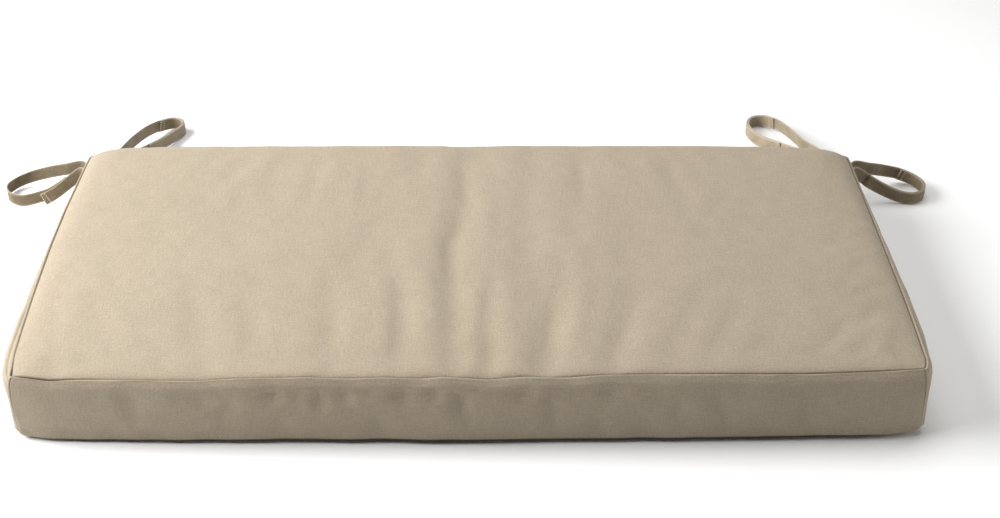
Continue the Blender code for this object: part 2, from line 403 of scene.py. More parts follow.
# The left back straps' canvas is the back one with painted shade: 0.76 of its colours
SHADED_LEFT_BACK_STRAP_MATERIAL = LIT_BACK_STRAP.painted_light_copy("left back strap canvas", 0.76).material()


# ---------------------------------------------------------------- mesh helpers


def new_piece(name: str, points: Array, faces: Array, material: Material) -> Piece:
    """A new smooth-shaded object at the origin.

    Args:
        name: The piece's name.
        points: Its points, one row each, in metres.
        faces: Its quads, or triangles, as rows of point numbers.
        material: What it is made of.

    Returns:
        The object, linked to the scene.
    """
    mesh = bpy.data.meshes.new(name)
    mesh.from_pydata(points.tolist(), [], faces.tolist())
    mesh.shade_smooth()
    mesh.materials.append(material)
    mesh.update()
    piece = bpy.data.objects.new(name, mesh)
    bpy.context.scene.collection.objects.link(piece)
    return piece


def lay_cloth_map(piece: Piece, places: Array) -> None:
    """Store each face corner's place on the flat cloth, in metres."""
    layer = piece.data.uv_layers.new(name=UV_NAME)
    layer.data.foreach_set("uv", places.astype(np.float32).ravel())


def store_wear_and_painted_light(piece: Piece, share: Array) -> None:
    """Store each point's painted light.

    On the cover 1 is a groove's painted shade and 2 the darkest painted shadow, of open
    gaps and the front's bottom seam. On the straps it is the lighter edge, partly wear and
    partly painted highlight.
    """
    made = piece.data.attributes.new(WEAR_AND_PAINTED_LIGHT_NAME, "FLOAT", "POINT")
    made.data.foreach_set("value", share.astype(np.float32))


def settle(piece: Piece, slot: str, *nodes: str) -> Piece:
    """Let a piece ride on the body, and hide the CAD nodes that it stands for.

    Args:
        piece: The piece.
        slot: Not used.
        nodes: The CAD nodes that it stands for.

    Returns:
        The same piece.
    """
    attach(piece, BODY)
    if nodes:
        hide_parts(*nodes)
    triangles = sum(len(polygon.vertices) - 2 for polygon in piece.data.polygons)
    LOG.info("%s: %d triangles", piece.name, triangles)
    return piece


def unit(rows: Array) -> Array:
    """Each row at length 1."""
    return rows / np.maximum(np.linalg.norm(rows, axis=-1, keepdims=True), 1e-12)


def bell(distance: Array, width: float) -> Array:
    """A smooth hump: e to the minus square of distance over width."""
    return np.exp(-((distance / width) ** 2))


def run_along(line: Array) -> Array:
    """How far along a line each of its points lies."""
    steps = np.linalg.norm(np.diff(line, axis=0), axis=1)
    return np.concatenate([[0.0], np.cumsum(steps)])


def at_marks(marks: Array, far: Array, rows: Array) -> Array:
    """Rows that are given at distances along a line, read at other distances."""
    return np.stack([np.interp(marks, far, column) for column in rows.T], axis=1)


def quads_of(numbers: Array, flipped: bool = False) -> Array:
    """The quads of a grid of point numbers, turned over if asked.

    Args:
        numbers: The point numbers, a row for each line of the grid.
        flipped: Whether to turn the quads over.

    Returns:
        The quads, one a row.
    """
    corners = [numbers[:-1, :-1], numbers[1:, :-1], numbers[1:, 1:], numbers[:-1, 1:]]
    if flipped:
        corners.reverse()
    return np.stack(corners, axis=-1).reshape(-1, 4)


def tube_of(numbers: Array) -> Array:
    """The quads round a tube, from the point numbers of its rings, one ring a row."""
    return quads_of(np.concatenate([numbers, numbers[:, :1]], axis=1))


class Stitch(NamedTuple):
    """One stitch's length, the cloth left before the next, and the thread's radius."""

    length: float
    gap: float
    radius: float


SEAM_STITCH = Stitch(0.0021, 0.0011, 0.00028)
EDGE_STITCH = Stitch(0.0021, 0.0009, 0.00022)
END_STITCH = Stitch(0.0028, 0.0004, 0.00055)


class Stitches:
    """Short lengths of thread, each a thin six-sided spindle that dips at both ends."""

    SIDES = 6
    RINGS = np.array([-0.5, -0.42, -0.2, 0.2, 0.42, 0.5])
    THICK = np.array([0.30, 0.85, 1.0, 1.0, 0.85, 0.30])
    DIP = np.array([1.0, 0.45, 0.0, 0.0, 0.45, 1.0]) * 2.2
    CAP_QUADS = ([0, 1, 2, 3], [3, 4, 5, 0])

    def __init__(self, finish: ThreadFinish) -> None:
        """Gather stitches that are sewn with this thread.

        Args:
            finish: The thread.
        """
        self.finish = finish
        self.points: list[Array] = []
        self.faces: list[Array] = []
        self.count = 0

    def row(self, line: Array, normal: Array, stitch: Stitch) -> None:
        """Sew one row of stitches along a line.

        Each stitch's points are its middle, plus a ring's place along the line, plus a
        circle of the thread's radius about it, dipped at the ends.

        Args:
            line: Points of the line, close together.
            normal: The cloth's outward direction at each of them.
            stitch: The stitch's sizes.
        """
        far = run_along(line)
        count = int(far[-1] / (stitch.length + stitch.gap))
        if count < 1:
            return
        middle = (np.arange(count) + 0.5) * far[-1] / count
        half = stitch.length / 2
        up = at_marks(middle, far, normal)
        ahead = unit(at_marks(middle + half, far, line) - at_marks(middle - half, far, line))
        up = unit(up - (up * ahead).sum(axis=1, keepdims=True) * ahead)
        axes = (at_marks(middle, far, line), ahead, up, np.cross(ahead, up))
        at, ahead, up, aside = (rows[:, None, None, :] for rows in axes)
        turn = np.arange(self.SIDES)[:, None] * math.tau / self.SIDES
        along, thick, dip = (part[:, None, None] for part in (self.RINGS, self.THICK, self.DIP))
        circle = thick * (np.cos(turn) * up + np.sin(turn) * aside)
        points = at + stitch.length * along * ahead + stitch.radius * (circle - dip * up)
        size = len(self.RINGS) * self.SIDES
        numbers = np.arange(size).reshape(-1, self.SIDES)
        ends = (numbers[0], numbers[-1][::-1])
        caps = np.stack([end[quad] for quad in self.CAP_QUADS for end in ends])
        one = np.concatenate([tube_of(numbers), caps])
        starts = self.count + np.arange(count)[:, None, None] * size
        self.points.append(points.reshape(-1, 3))
        self.faces.append((one[None] + starts).reshape(-1, 4))
        self.count += count * size

    def piece(self, name: str, slot: str) -> Piece:
        """All the rows as one piece."""
        points, faces = np.concatenate(self.points), np.concatenate(self.faces)
        return settle(new_piece(name, points, faces, self.finish.material()), slot)


# ---------------------------------------------------------------- cushion


class Fold(NamedTuple):
    """A soft fold of the top panel, in millimetres; a negative rise is a valley.

    Its middle, half width and rise are given at stations from the front to the back.
    """

    x: tuple[float, ...]
    half_width: tuple[float, ...]
    rise: tuple[float, ...]
    stations: tuple[float, ...] = (-262, -209, -160, -108, -54, 2, 60, 122, 185, 252)


class Pucker(NamedTuple):
    """A crease beside a seam, in millimetres, turned by degrees; a negative rise is a dent."""

    x: float
    y: float
    half_length: float
    half_width: float
    rise: float
    turn: float


class Dimple(NamedTuple):
    """A soft dent of the front boxing, in millimetres; a negative depth is a bump."""

    x: float
    height: float
    half_width: float
    half_height: float
    depth: float


class Panel(Enum):
    """The six sides of the box, with the axis that each faces and its direction."""

    TOP = (2, 1)
    BOTTOM = (2, -1)
    RIGHT = (0, 1)
    LEFT = (0, -1)
    BACK = (1, 1)
    FRONT = (1, -1)


UPRIGHT_PANELS = (Panel.FRONT, Panel.BACK, Panel.LEFT, Panel.RIGHT)
# Where the short tucks behind the front seam are given, and how far folds' corners are
# rounded, in millimetres
TUCK_STATIONS = (-262, -240, -214)
FOLD_SOFT = 15.0

FOLDS = (
    Fold(
        (-86, -85, -83, -90, -98, -101, -96, -95, -107),
        (19, 21, 18, 19, 21, 25, 27, 24, 20),
        (-2.2, -2.4, -3.1, -3.1, -3.2, -2.4, -2.1, -0.5, 0.1),
    ),
    Fold(
        (-19, -19, -18, -18, -20, -21, -20, -14, -12, -9),
        (22, 25, 25, 26, 26, 24, 23, 19, 20, 15),
        (-5.1, -5.6, -6.7, -7, -6.2, -4.9, -4.2, -3.8, -3.5, -3.3),
    ),
    Fold(
        (26, 26, 26, 27, 16, 3, 5, 9, 12, 18),
        (17, 19, 16, 18, 23, 17, 19, 19, 19, 26),
        (-4.7, -5.3, -4, -2.8, -1.2, -1.4, -1.6, -2.4, -3.3, -2.7),
    ),
    Fold(
        (96, 97, 99, 98, 91, 83, 83, 84, 91, 101),
        (27, 30, 34, 37, 38, 28, 24, 23, 23, 15),
        (-5.8, -6.5, -6.4, -5.4, -3.6, -3.3, -2.9, -2.1, -1, -1),
    ),
    Fold(
        (177, 184, 194, 203, 213, 223, 229, 227, 227, 232),
        (22, 24, 28, 33, 36, 38, 35, 32, 30, 28),
        (-4.1, -4.6, -4.2, -3.5, -2, -1.3, -1.2, -0.1, -0.5, -0.7),
    ),
    Fold(
        (113, 124, 137, 143, 146, 148, 145, 154, 164, 168),
        (11, 12, 20, 19, 17, 16, 19, 24, 27, 29),
        (1.4, 1.6, 2.1, 2.1, 1.3, 0.2, -1.3, -2.7, -2.3, -2.1),
    ),
    Fold(
        (-171, -170, -168, -164, -150, -141, -139, -120, -79, -53),
        (14, 16, 20, 32, 38, 37, 32, 34, 28, 15),
        (-1.5, -1.6, -1.6, -2.1, -3.5, -3.5, -2.5, -1.9, -2.6, -1.9),
    ),
    *(
        Fold((x,) * 3, (half, half, wide), (rise, inner, 0), TUCK_STATIONS)
        for x, half, wide, rise, inner in (
            (-67, 5, 6.5, -0.8, -0.7), (-30, 5, 6.5, -0.7, -0.6), (13, 5, 6.5, -0.9, -0.7),
            (140, 5, 6.5, -0.9, -0.7), (89, 6, 7.8, -0.6, -0.4), (181, 6, 7.8, -0.7, -0.6),
            (-114, 5.5, 7.2, -0.6, -0.4),
        )
    ),
    Fold((-31, -31, -30), (10, 10, 10), (0, -1.2, -1.6), (206, 225, 270)),
    Fold((-330, -333, -335), (14, 18, 20), (-0.7, -0.4, 0), (-262, -200, -150)),
)

PUCKERS = (
    Pucker(-535, 20, 45, 8, -1, -20), Pucker(-530, -20, 40, 8, 0.8, -20),
    Pucker(535, 60, 40, 8, -1, 25), Pucker(530, 20, 40, 8, -1, 25),
    Pucker(535, -20, 40, 8, 0.9, 25), Pucker(540, -90, 35, 8, -0.9, 25),
)

DIMPLES = (
    Dimple(-240, 78, 14, 10, 4), Dimple(-212, 76, 10, 10, 3.4), Dimple(-184, 72, 12, 12, 4.4),
    Dimple(-158, 77, 10, 10, 2.8), Dimple(-83, 78, 12, 10, 3.2), Dimple(-45, 78, 12, 10, 3.2),
    Dimple(-10, 70, 12, 13, 4.2), Dimple(66, 77, 13, 10, 3.2), Dimple(100, 66, 12, 12, 2),
    Dimple(176, 78, 14, 10, 2.8), Dimple(-554, 20, 8, 3.2, -1), Dimple(-542, 17, 8, 3, -1),
    Dimple(-530, 14, 8, 2.8, -1), Dimple(-518, 11.5, 8, 2.6, -0.8), Dimple(-505, 23, 30, 7, 1),
    Dimple(-420, 74, 20, 12, 2), Dimple(-330, 76, 18, 12, 1.8), Dimple(300, 74, 20, 12, 1.8),
    Dimple(430, 76, 20, 12, 1.6),
)


@dataclass(frozen=True)
class Table:
    """Measured values at places along a seam, both in millimetres.

    Values that are shares have the unit SHARE. The soft reach rounds the corners that
    the entries would leave.
    """

    entries: tuple[tuple[float, float], ...]
    soft: float = 6.0
    unit: float = PER_METRE
    samples: int = 7

    def at(self, places: Array) -> Array:
        """The table's value at each place.

        It is evenly between the entries, and the mean of the values at and on both sides
        of the place.

        Args:
            places: Places along the seam, in metres.

        Returns:
            The values, in metres or as shares.
        """
        place, value = np.array(self.entries, float).T
        place, value = place / PER_METRE, value / self.unit
        shifts = np.linspace(-self.soft, self.soft, self.samples) / PER_METRE
        return np.mean([np.interp(places + shift, place, value) for shift in shifts], axis=0)


# How far the front top seam stands above or below an even line, at places across
FRONT_WAVE = Table((
    (-573, 0), (-559, 0.5), (-519, -4), (-500, -2), (-442, -1.5), (-380, -2.5), (-339, -3.5),
    (-287, 0.5), (-254, 0.5), (-203, 2), (-150, -1), (-104, 1), (-60, -2), (-34, 2), (24, -4),
    (73, 0.5), (121, -2), (170, 2.5), (206, 2), (293, 1.5), (364, 0), (435, -1), (518, 0.5),
    (568, 1),
))
# How high the front bottom edge stands off the floor, at places across
FRONT_FOOT = Table((
    (-572, 1.2), (-435, 1), (-300, 1.4), (-25, 1.8), (250, 1.6), (400, 2.4), (487, 3.6),
    (530, 4.6), (572, 5.5),
), 50)
# How high the painted shadow over the front bottom seam reaches, at places across
FRONT_SHADOW = Table((
    (-572, 0), (-562, 0), (-530, 4.6), (-435, 6.2), (-345, 7), (-179, 7.6), (-25, 7.8),
    (115, 7.2), (400, 7), (480, 6.2), (520, 4), (550, 0), (572, 0),
), 20)
# How far below each end's top seam its crease runs, and how strong it is in depth and painted
# shade
LEFT_CREASE_DROP = Table((
    (-254, 3.6), (-235, 3.3), (-212, 3), (-172, 2.1), (-131, 1.3), (254, 1),
), 10)
LEFT_CREASE_DEPTH = Table((
    (-254, 0), (-250, 0.7), (-243, 1.3), (-228, 0.8), (-131, 1.2), (-105, 0.7), (-50, 0.2),
    (60, 0.1), (120, 0),
), 6, SHARE)
RIGHT_CREASE_DROP = Table(((-254, 3), (-215, 2.6), (-172, 0.9), (254, 0.8)), 10)
RIGHT_CREASE_DEPTH = Table((
    (-254, 0.3), (-215, 0.6), (-172, 0.6), (-140, 0.3), (-110, 0), (254, 0),
), 6, SHARE)
# How strong the soft crease below the front top seam is, at places across
FRONT_CREASE = Table((
    (-560, 0.2), (-450, 0.6), (-300, 1), (-150, 1.3), (-60, 0.9), (0, 1.3), (60, 1), (180, 0.9),
    (260, 0.4), (560, 0.2),
), 20, SHARE)
# How open the left and front top seams gape, at places along them: a wider gape gives a
# deeper groove with more painted shade
LEFT_GAPE = Table((
    (-254, 1.5), (-243, 1.4), (-233, 0.3), (-212, 0.1), (-172, 0.3), (-131, 0.25), (-95, 0.45),
    (0, 0.6), (254, 0.75),
), 6, SHARE)
FRONT_GAPE = Table((
    (-571, 0.6), (-558, 2.2), (-520, 2.2), (-490, 1.2), (-450, 0.35), (-400, 0.2), (-100, 0.22),
    (50, 0.3), (130, 0.6), (180, 0.9), (230, 0.8), (300, 1.2), (480, 1.4), (560, 1),
), 10, SHARE)


@dataclass(frozen=True)
class Side:
    """One side of the boxing: how far out its top seam, its swell and its foot stand."""

    seam: Table
    swell: Table
    foot: Table


LEFT_SIDE = Side(
    seam=Table((
        (-254, 574), (-209, 579.5), (-161, 581.5), (-89, 583.5), (19, 584.5), (107, 582.5),
        (200, 577.5), (254, 574),
    ), 8),
    swell=Table((
        (-254, 1), (-246, 7.5), (-230, 13.5), (-200, 15), (-160, 14), (-110, 12), (-60, 10),
        (0, 8), (60, 6), (150, 4.5), (254, 4),
    )),
    foot=Table(((-254, 10.5), (-235, 5), (-200, 1), (0, 2), (254, 5)), 10),
)
RIGHT_SIDE = Side(
    seam=Table((
        (-254, 573.5), (-238, 579.5), (-165, 580.5), (-108, 580.5), (19, 578.5), (107, 576.5),
        (200, 574), (254, 572.5),
    ), 8),
    swell=Table((
        (-254, 0), (-244, 3.4), (-225, 8.2), (-165, 11.5), (-108, 11), (-60, 10), (19, 8),
        (107, 6), (200, 4.5), (254, 3),
    )),
    foot=Table(((-254, 11.5), (-235, 5), (-200, 1), (0, 2), (254, 4)), 10),
)
FRONT_SIDE = Side(
    seam=Table((
        (-572, 257), (-520, 261), (-400, 264), (0, 266), (400, 264), (520, 261), (572, 257),
    ), 8),
    swell=Table(((-572, 1), (-540, 3), (540, 3), (572, 1))),
    foot=Table((
        (-572, 5), (-545, 6), (-524, 8), (-435, 9), (-345, 10), (-223, 10.2), (-98, 10.6),
        (-35, 12.2), (28, 12.2), (115, 11), (153, 11), (279, 11.8), (404, 10.8), (467, 11.6),
        (504, 12.4), (530, 11.6), (551, 10.7), (572, 9),
    ), 10),
)
BACK_SIDE = Side(
    seam=Table((
        (-572, 257), (-545, 262.5), (-515, 267), (-410, 271.5), (-110, 273), (-47, 272),
        (-27, 270.5), (0, 272), (198, 273), (350, 272), (472, 269), (526, 264.5), (554, 259.5),
        (572, 254.5),
    ), 8),
    swell=Table(((-572, 2), (-520, 4), (520, 4), (572, 2))),
    foot=Table(((-572, 6), (0, 6), (572, 6)), 10),
)


def spread(fine: Array, coarse: Array, reach: float) -> Array:
    """Smooth weights that carry values from coarse places to fine ones: rows of bells."""
    share = bell(fine[:, None] - coarse[None, :], reach)
    return share / share.sum(axis=1, keepdims=True)


def shell_of(*lines: Array) -> tuple[Array, tuple[Array, ...], list]:
    """The points on the outside of a box lattice.

    Args:
        lines: The lattice's places along x, y and z.

    Returns:
        The point number at each lattice place, the lattice places of the points, and
        the points' quads, panel by panel.
    """
    shell = np.zeros([len(line) for line in lines], bool)
    shell[[0, -1]] = True
    shell[:, [0, -1]] = True
    shell[:, :, [0, -1]] = True
    numbers = np.full(shell.shape, -1)
    numbers[shell] = np.arange(shell.sum())
    faces = []
    for panel in Panel:
        axis, sign = panel.value
        grid = np.take(numbers, -1 if sign > 0 else 0, axis=axis)
        faces.append(quads_of(grid, flipped=(sign < 0) != (axis == 1)))
    return numbers, np.nonzero(shell), faces


@dataclass(frozen=True)
class Filling:
    """The filling's push on the cover, as a cloth simulation on a coarse shell.

    The shell is held along its seams and underneath, it has a little spare cloth, and
    air pressure presses it out. The crown is known from the measured form, so only the
    unevenness is kept: what is left after a broad mean is taken away. It fades out
    beside the seams.
    """

    step: float = 0.012
    frames: int = 18
    pressure: float = 4.0
    spare: float = 0.010
    quality: int = 5
    mass: float = 0.3
    stretch_stiffness: float = 15.0
    shear_stiffness: float = 5.0
    bending_stiffness: float = 0.6
    close: float = 0.0096
    broad: float = 0.045
    most: float = 0.0009
    fade: float = 0.010

    def run(self, points: Array, faces: Array, held: Array) -> Array:
        """Simulate the shell.

        Args:
            points: The shell's points.
            faces: Its quads.
            held: Whether each point is pinned.

        Returns:
            How far each point moved, in rows of x, y and z.
        """
        piece = new_piece("filling_trial", points, faces, COVER_MATERIAL)
        pins = piece.vertex_groups.new(name="pins")
        pins.add(np.flatnonzero(held).tolist(), 1.0, "REPLACE")
        cloth = piece.modifiers.new("cloth", "CLOTH")
        fabric = cloth.settings
        fabric.quality = self.quality
        fabric.mass = self.mass
        fabric.tension_stiffness = fabric.compression_stiffness = self.stretch_stiffness
        fabric.shear_stiffness = self.shear_stiffness
        fabric.bending_stiffness = self.bending_stiffness
        fabric.vertex_group_mass = "pins"
        fabric.shrink_min = -self.spare
        fabric.use_pressure = True
        fabric.uniform_pressure_force = self.pressure
        fabric.effector_weights.gravity = 0.0
        cloth.point_cache.frame_end = self.frames
        scene = bpy.context.scene
        for moment in range(1, self.frames + 1):
            scene.frame_set(moment)
        settled = piece.evaluated_get(bpy.context.evaluated_depsgraph_get())
        moved = np.empty(len(points) * 3, np.float32)
        settled.to_mesh().vertices.foreach_get("co", moved)
        settled.to_mesh_clear()
        scene.frame_set(1)
        trial = piece.data
        bpy.data.objects.remove(piece)
        bpy.data.meshes.remove(trial)
        return moved.reshape(-1, 3).astype(float) - points

    def press(self, cushion: "Cushion", fine: Sequence[Array]) -> Array:
        """The uneven push at every place of a fine lattice; nothing inside it.

        Args:
            cushion: The cushion whose form is pressed out.
            fine: The fine lattice's places along x, y and z.

        Returns:
            An array over the lattice, with x, y and z last.
        """
        coarse = [
            np.linspace(line[0], line[-1], int(round((line[-1] - line[0]) / self.step)) + 1)
            for line in fine
        ]
        numbers, spots, faces = shell_of(*coarse)
        x0, y0, z0 = (line[spot] for line, spot in zip(coarse, spots))
        seams = sum(np.isin(spot, (0, len(line) - 1)) * 1 for line, spot in zip(coarse, spots))
        held = (seams > 1) | (z0 < TOUCHING)
        moved = self.run(cushion.surface(x0, y0, z0), np.concatenate(faces), held)
        volume = np.zeros([len(line) for line in fine] + [3])
        for panel in (Panel.TOP, *UPRIGHT_PANELS):
            axis, sign = panel.value
            last = -1 if sign > 0 else 0
            push = moved[np.take(numbers, last, axis=axis)]
            across, along = [n for n in range(3) if n != axis]
            near, mean = (
                np.einsum(
                    "ia,abc,jb->ijc",
                    spread(fine[across], coarse[across], reach),
                    push,
                    spread(fine[along], coarse[along], reach),
                )
                for reach in (self.close, self.broad)
            )
            uneven = near - mean
            size = np.linalg.norm(uneven, axis=-1, keepdims=True)
            uneven *= self.most * np.tanh(size / self.most) / np.maximum(size, 1e-9)
            first, second = (
                1 - np.exp(-np.minimum(line - line[0], line[-1] - line) / self.fade)
                for line in (fine[across], fine[along])
            )
            spot: list[Any] = [slice(None)] * 3
            spot[axis] = last
            volume[tuple(spot)] = uneven * (first[:, None] * second[None, :])[..., None]
        sizes = np.linalg.norm(volume, axis=-1)
        LOG.info("filling pressed out, at most %.1f mm", PER_METRE * sizes.max())
        return volume


class Spots:
    """Points of the plain box, how far in from its seams they lie, and on which side."""

    def __init__(self, box: "Cushion", x: Array, y: Array, z: Array) -> None:
        """Measure the points.

        Args:
            box: The cushion that they are on.
            x: Places across, from its middle.
            y: Places along, from its middle.
            z: Heights, from 0 to the seam height.
        """
        self.x, self.y, self.z = x, y, z
        self.right, self.back = x / (box.width / 2), y / (box.depth / 2)
        self.in_x = np.maximum(box.width / 2 - np.abs(x), 0.0)
        self.in_y = np.maximum(box.depth / 2 - np.abs(y), 0.0)
        self.nearest = np.minimum(self.in_x, self.in_y)
        self.from_front = y + box.depth / 2
        self.drop = box.seam_height - z
        self.on_top = self.drop < TOUCHING
        self.on_bottom = z < TOUCHING
        boxing = ~self.on_top & ~self.on_bottom
        self.on_end = (self.in_x < TOUCHING) & boxing
        self.on_long = (self.in_y < TOUCHING) & boxing
        self.on_side = self.on_end | self.on_long
        self.on_front = self.on_long & (y < 0)

    def blend(self, values: Corners) -> Array:
        """Four values blended over the box: front left, front right, back left, back right.

        Args:
            values: The four values.

        Returns:
            The value at each point.
        """
        right, back = (self.right + 1) / 2, (self.back + 1) / 2
        front_left, front_right, back_left, back_right = values
        front = front_left * (1 - right) + front_right * right
        rear = back_left * (1 - right) + back_right * right
        return front * (1 - back) + rear * back


@dataclass
class Cushion:
    """The filled cushion: a box of six sewn panels, crowned and drawn in by its seams.

    Its fields come in the order of the methods that read them. A field ending in _over
    or _reach is the distance in which its rise comes or dies away.
    """

    width: float = 1.143
    depth: float = 0.508
    seam_height: float = 0.098
    step: float = 0.0058
    upright_step: float = 0.0056
    seam_offsets: tuple[float, ...] = (
        0.0, 0.0005, 0.0010, 0.0014, 0.0018, 0.0023, 0.0028, 0.0034, 0.0042, 0.0052, 0.0066,
        0.0086, 0.0112, 0.0146, 0.0190,
    )
    upright_offsets: tuple[float, ...] = (
        0.0, 0.0005, 0.0010, 0.0015, 0.0021, 0.0028, 0.0035, 0.0043, 0.0052, 0.0062, 0.0073,
        0.0085, 0.0097, 0.0109, 0.0121, 0.0133, 0.0147, 0.0165, 0.0190,
    )
    seed: int = 11
    waves: int = 28
    longest_wave: float = 4.0
    # The sides' swell, and the front's flare to its foot
    swell_over: float = 0.0080
    swell_reach: float = 0.045
    swell_peak: float = 0.607
    flare_over: float = 0.016
    fold_end: float = 0.010
    fold_end_over: float = 0.008
    # The top panel's crown
    lip: float = 0.0026
    long_lip_share: float = 1.65
    front_lift: float = 0.0045
    front_lift_over: float = 0.0045
    slope_lift: float = 0.0085
    slope_over: float = 0.090
    back_lift: float = 0.0072
    back_lift_reach: float = 0.070
    back_roll: float = 0.0090
    side_roll: float = 0.014
    # The upright corners, and the foot that curls in
    curl: float = 0.0040
    curl_height: float = 0.0070
    corner_radius_top: float = 0.003
    corner_radius_foot: float = 0.013
    corner_reach: float = 0.010
    # The heights of the seams and of the foot
    corner_lifts: Corners = (0.0, 0.005, 0.003, -0.001)
    wave_reach: float = 0.035
    back_seam_rise: float = 0.0045
    back_seam_over: float = 0.022
    back_seam_reach: float = 0.2
    foot_height: float = 0.0045
    front_foot_reach: float = 0.06
    foot_corner_lifts: Corners = (0.0036, 0.0015, 0.0040, 0.0040)
    foot_corner_reach: float = 0.018
    foot_roll: float = 0.007
    # The seam round the top panel, and its groove's painted shade
    groove_turn: float = 0.009
    plain_gape: float = 0.75
    wide_gape: float = 0.9
    wide_gape_wider: float = 0.8
    closed_groove: float = 0.35
    closed_shade: float = 0.10
    gape_shade: float = 0.70
    ridge: float = 0.0004
    ridge_width: float = 0.0013
    groove: float = 0.0019
    groove_width: float = 0.0008
    under_seam: float = 0.0003
    under_seam_drop: float = 0.0034
    under_seam_width: float = 0.0016
    # The corner seams and the ends' creases, with their painted shade
    upright_inset: float = 0.0030
    upright_from: float = 0.006
    upright_ridge: float = 0.0005
    upright_ridge_width: float = 0.0014
    upright_groove: float = 0.0008
    upright_groove_width: float = 0.0009
    upright_shade: float = 0.5
    left_front_shade: float = 0.12
    crease: float = 0.0010
    crease_width: float = 0.0009
    crease_shade: float = 0.75
    # Uneven cloth
    calm_over: float = 0.012
    front_calm_over: float = 0.006
    ripple_length: float = 0.030
    side_ripple_length: float = 0.035
    crumple_length: float = 0.011
    crumple_stretch: float = 1.4
    ripple_height: float = 0.00030
    crumple_drop: float = 0.020
    crumple_reach: float = 0.016
    front_crease: float = 0.0016
    front_crease_drop: float = 0.021
    front_crease_width: float = 0.0075
    # The painted shadow over the front's bottom seam, and how strongly grooves are painted with
    # shade
    shadow_edge: float = 0.0004
    shadow_least: float = 0.0015
    most_groove_shade: float = 1.5
    darkest_painted_shade: float = 1.9
    # The stitches
    stitch_drop: float = 0.0030
    stitch_rise: float = 0.0016
    stitch_proud: float = 0.00005
    stitch_ends: float = 0.004
    upright_stitches_from: float = 0.008
    level_steps: int = 900
    upright_steps: int = 80

    @staticmethod
    def places(length: float, step: float, offsets: tuple[float, ...]) -> Array:
        """Places from one seam to the other, close together beside both.

        Args:
            length: How far the seams are apart.
            step: The largest spacing between places.
            offsets: How far the close places are from a seam.

        Returns:
            The places, from minus half the length to half of it.
        """
        near = np.array(offsets)
        inner = length / 2 - near[-1]
        count = int(math.ceil(2 * inner / step))
        middle = np.linspace(-inner, inner, count + 1)
        return np.concatenate([near[:-1] - length / 2, middle, length / 2 - near[:-1][::-1]])

    def reach(self, side: Side, along: Array, drop: Array) -> Array:
        """How far out one side stands, at places along it and drops below the top seam.

        The seam's place, plus the swell times a hump that rises fast under the seam and
        dies away slowly, plus the foot's flare times the share of the drop, or for the
        front times 1 less e to the minus drop.

        Args:
            side: The side.
            along: Places along its seam.
            drop: How far below the top seam they are.

        Returns:
            Its distance from the cushion's middle at each place.
        """
        hump = (1 - np.exp(-drop / self.swell_over)) * np.exp(-drop / self.swell_reach)
        even = drop / self.seam_height
        flare = 1 - np.exp(-drop / self.flare_over) if side is FRONT_SIDE else even
        swell = side.swell.at(along) * hump / self.swell_peak
        return side.seam.at(along) + swell + side.foot.at(along) * flare

    def folds(self, x: Array, y: Array) -> Array:
        """The top panel's folds: humps about curves that run from front to back.

        Each is its rise times a bell less a third of a bell that is three times as
        wide, so that a fold takes up cloth and doesn't lower the panel.

        Args:
            x: Places across.
            y: Places along.

        Returns:
            The rise at each place.
        """
        rise = np.zeros_like(x)
        for fold in FOLDS:
            middle, half, height = (
                Table(tuple(zip(fold.stations, values)), FOLD_SOFT).at(y) for values in fold[:3]
            )
            end = fold.stations[len(fold.x) - 1] / PER_METRE + self.fold_end
            height = height / (1 + np.exp((y - end) / self.fold_end_over))
            rise += height * (bell(x - middle, half) - bell(x - middle, 3 * half) / 3)
        return rise

    def puckers(self, x: Array, y: Array) -> Array:
        """The creases beside the seams: long humps, each turned its own way.

        Args:
            x: Places across.
            y: Places along.

        Returns:
            The rise at each place.
        """
        rise = np.zeros_like(x)
        for *sizes, turned in PUCKERS:
            middle_x, middle_y, half_length, half_width, height = np.array(sizes) / PER_METRE
            turn = math.radians(turned)
            right, behind = x - middle_x, y - middle_y
            along = right * math.cos(turn) + behind * math.sin(turn)
            across = behind * math.cos(turn) - right * math.sin(turn)
            rise += height * bell(along, half_length) * bell(across, half_width)
        return rise

    def ripple(self, x: Array, y: Array, shortest: float) -> Array:
        """Uneven cloth: a sum of many waves of random direction, length and phase.

        Args:
            x: Places across.
            y: Places along.
            shortest: The shortest wave's length.

        Returns:
            The rise at each place, typically the ripple height.
        """
        chance = np.random.default_rng(self.seed)
        lengths = shortest * chance.uniform(1.0, self.longest_wave, self.waves)
        turns = chance.uniform(0.0, math.pi, self.waves)
        phases = chance.uniform(0.0, math.tau, self.waves)
        total = np.zeros_like(x)
        for length, turn, phase in zip(lengths, turns, phases):
            along = x * math.cos(turn) + y * math.sin(turn)
            total += np.cos(math.tau * along / length + phase)
        return total * self.ripple_height / math.sqrt(self.waves / 2)

    def crown(self, at: Spots) -> Array:
        """The top panel's height over its seams.

        A quick rise and a long slope behind the front seam and a hump before the back
        seam, times 1 less e to the minus distance from the back and side seams.

        Args:
            at: The points.

        Returns:
            The height at each point.
        """
        long_lip = self.lip / self.long_lip_share
        from_front = np.maximum(at.from_front - long_lip, 0.0)
        from_back = np.maximum(self.depth / 2 - at.y - long_lip, 0.0)
        from_side = np.maximum(at.in_x - self.lip, 0.0)
        rise = self.front_lift * (1 - np.exp(-from_front / self.front_lift_over))
        rise += self.slope_lift * (1 - np.exp(-from_front / self.slope_over))
        rise += self.back_lift * np.exp(-from_back / self.back_lift_reach)
        rise *= 1 - np.exp(-from_back / self.back_roll)
        return rise * (1 - np.exp(-from_side / self.side_roll))

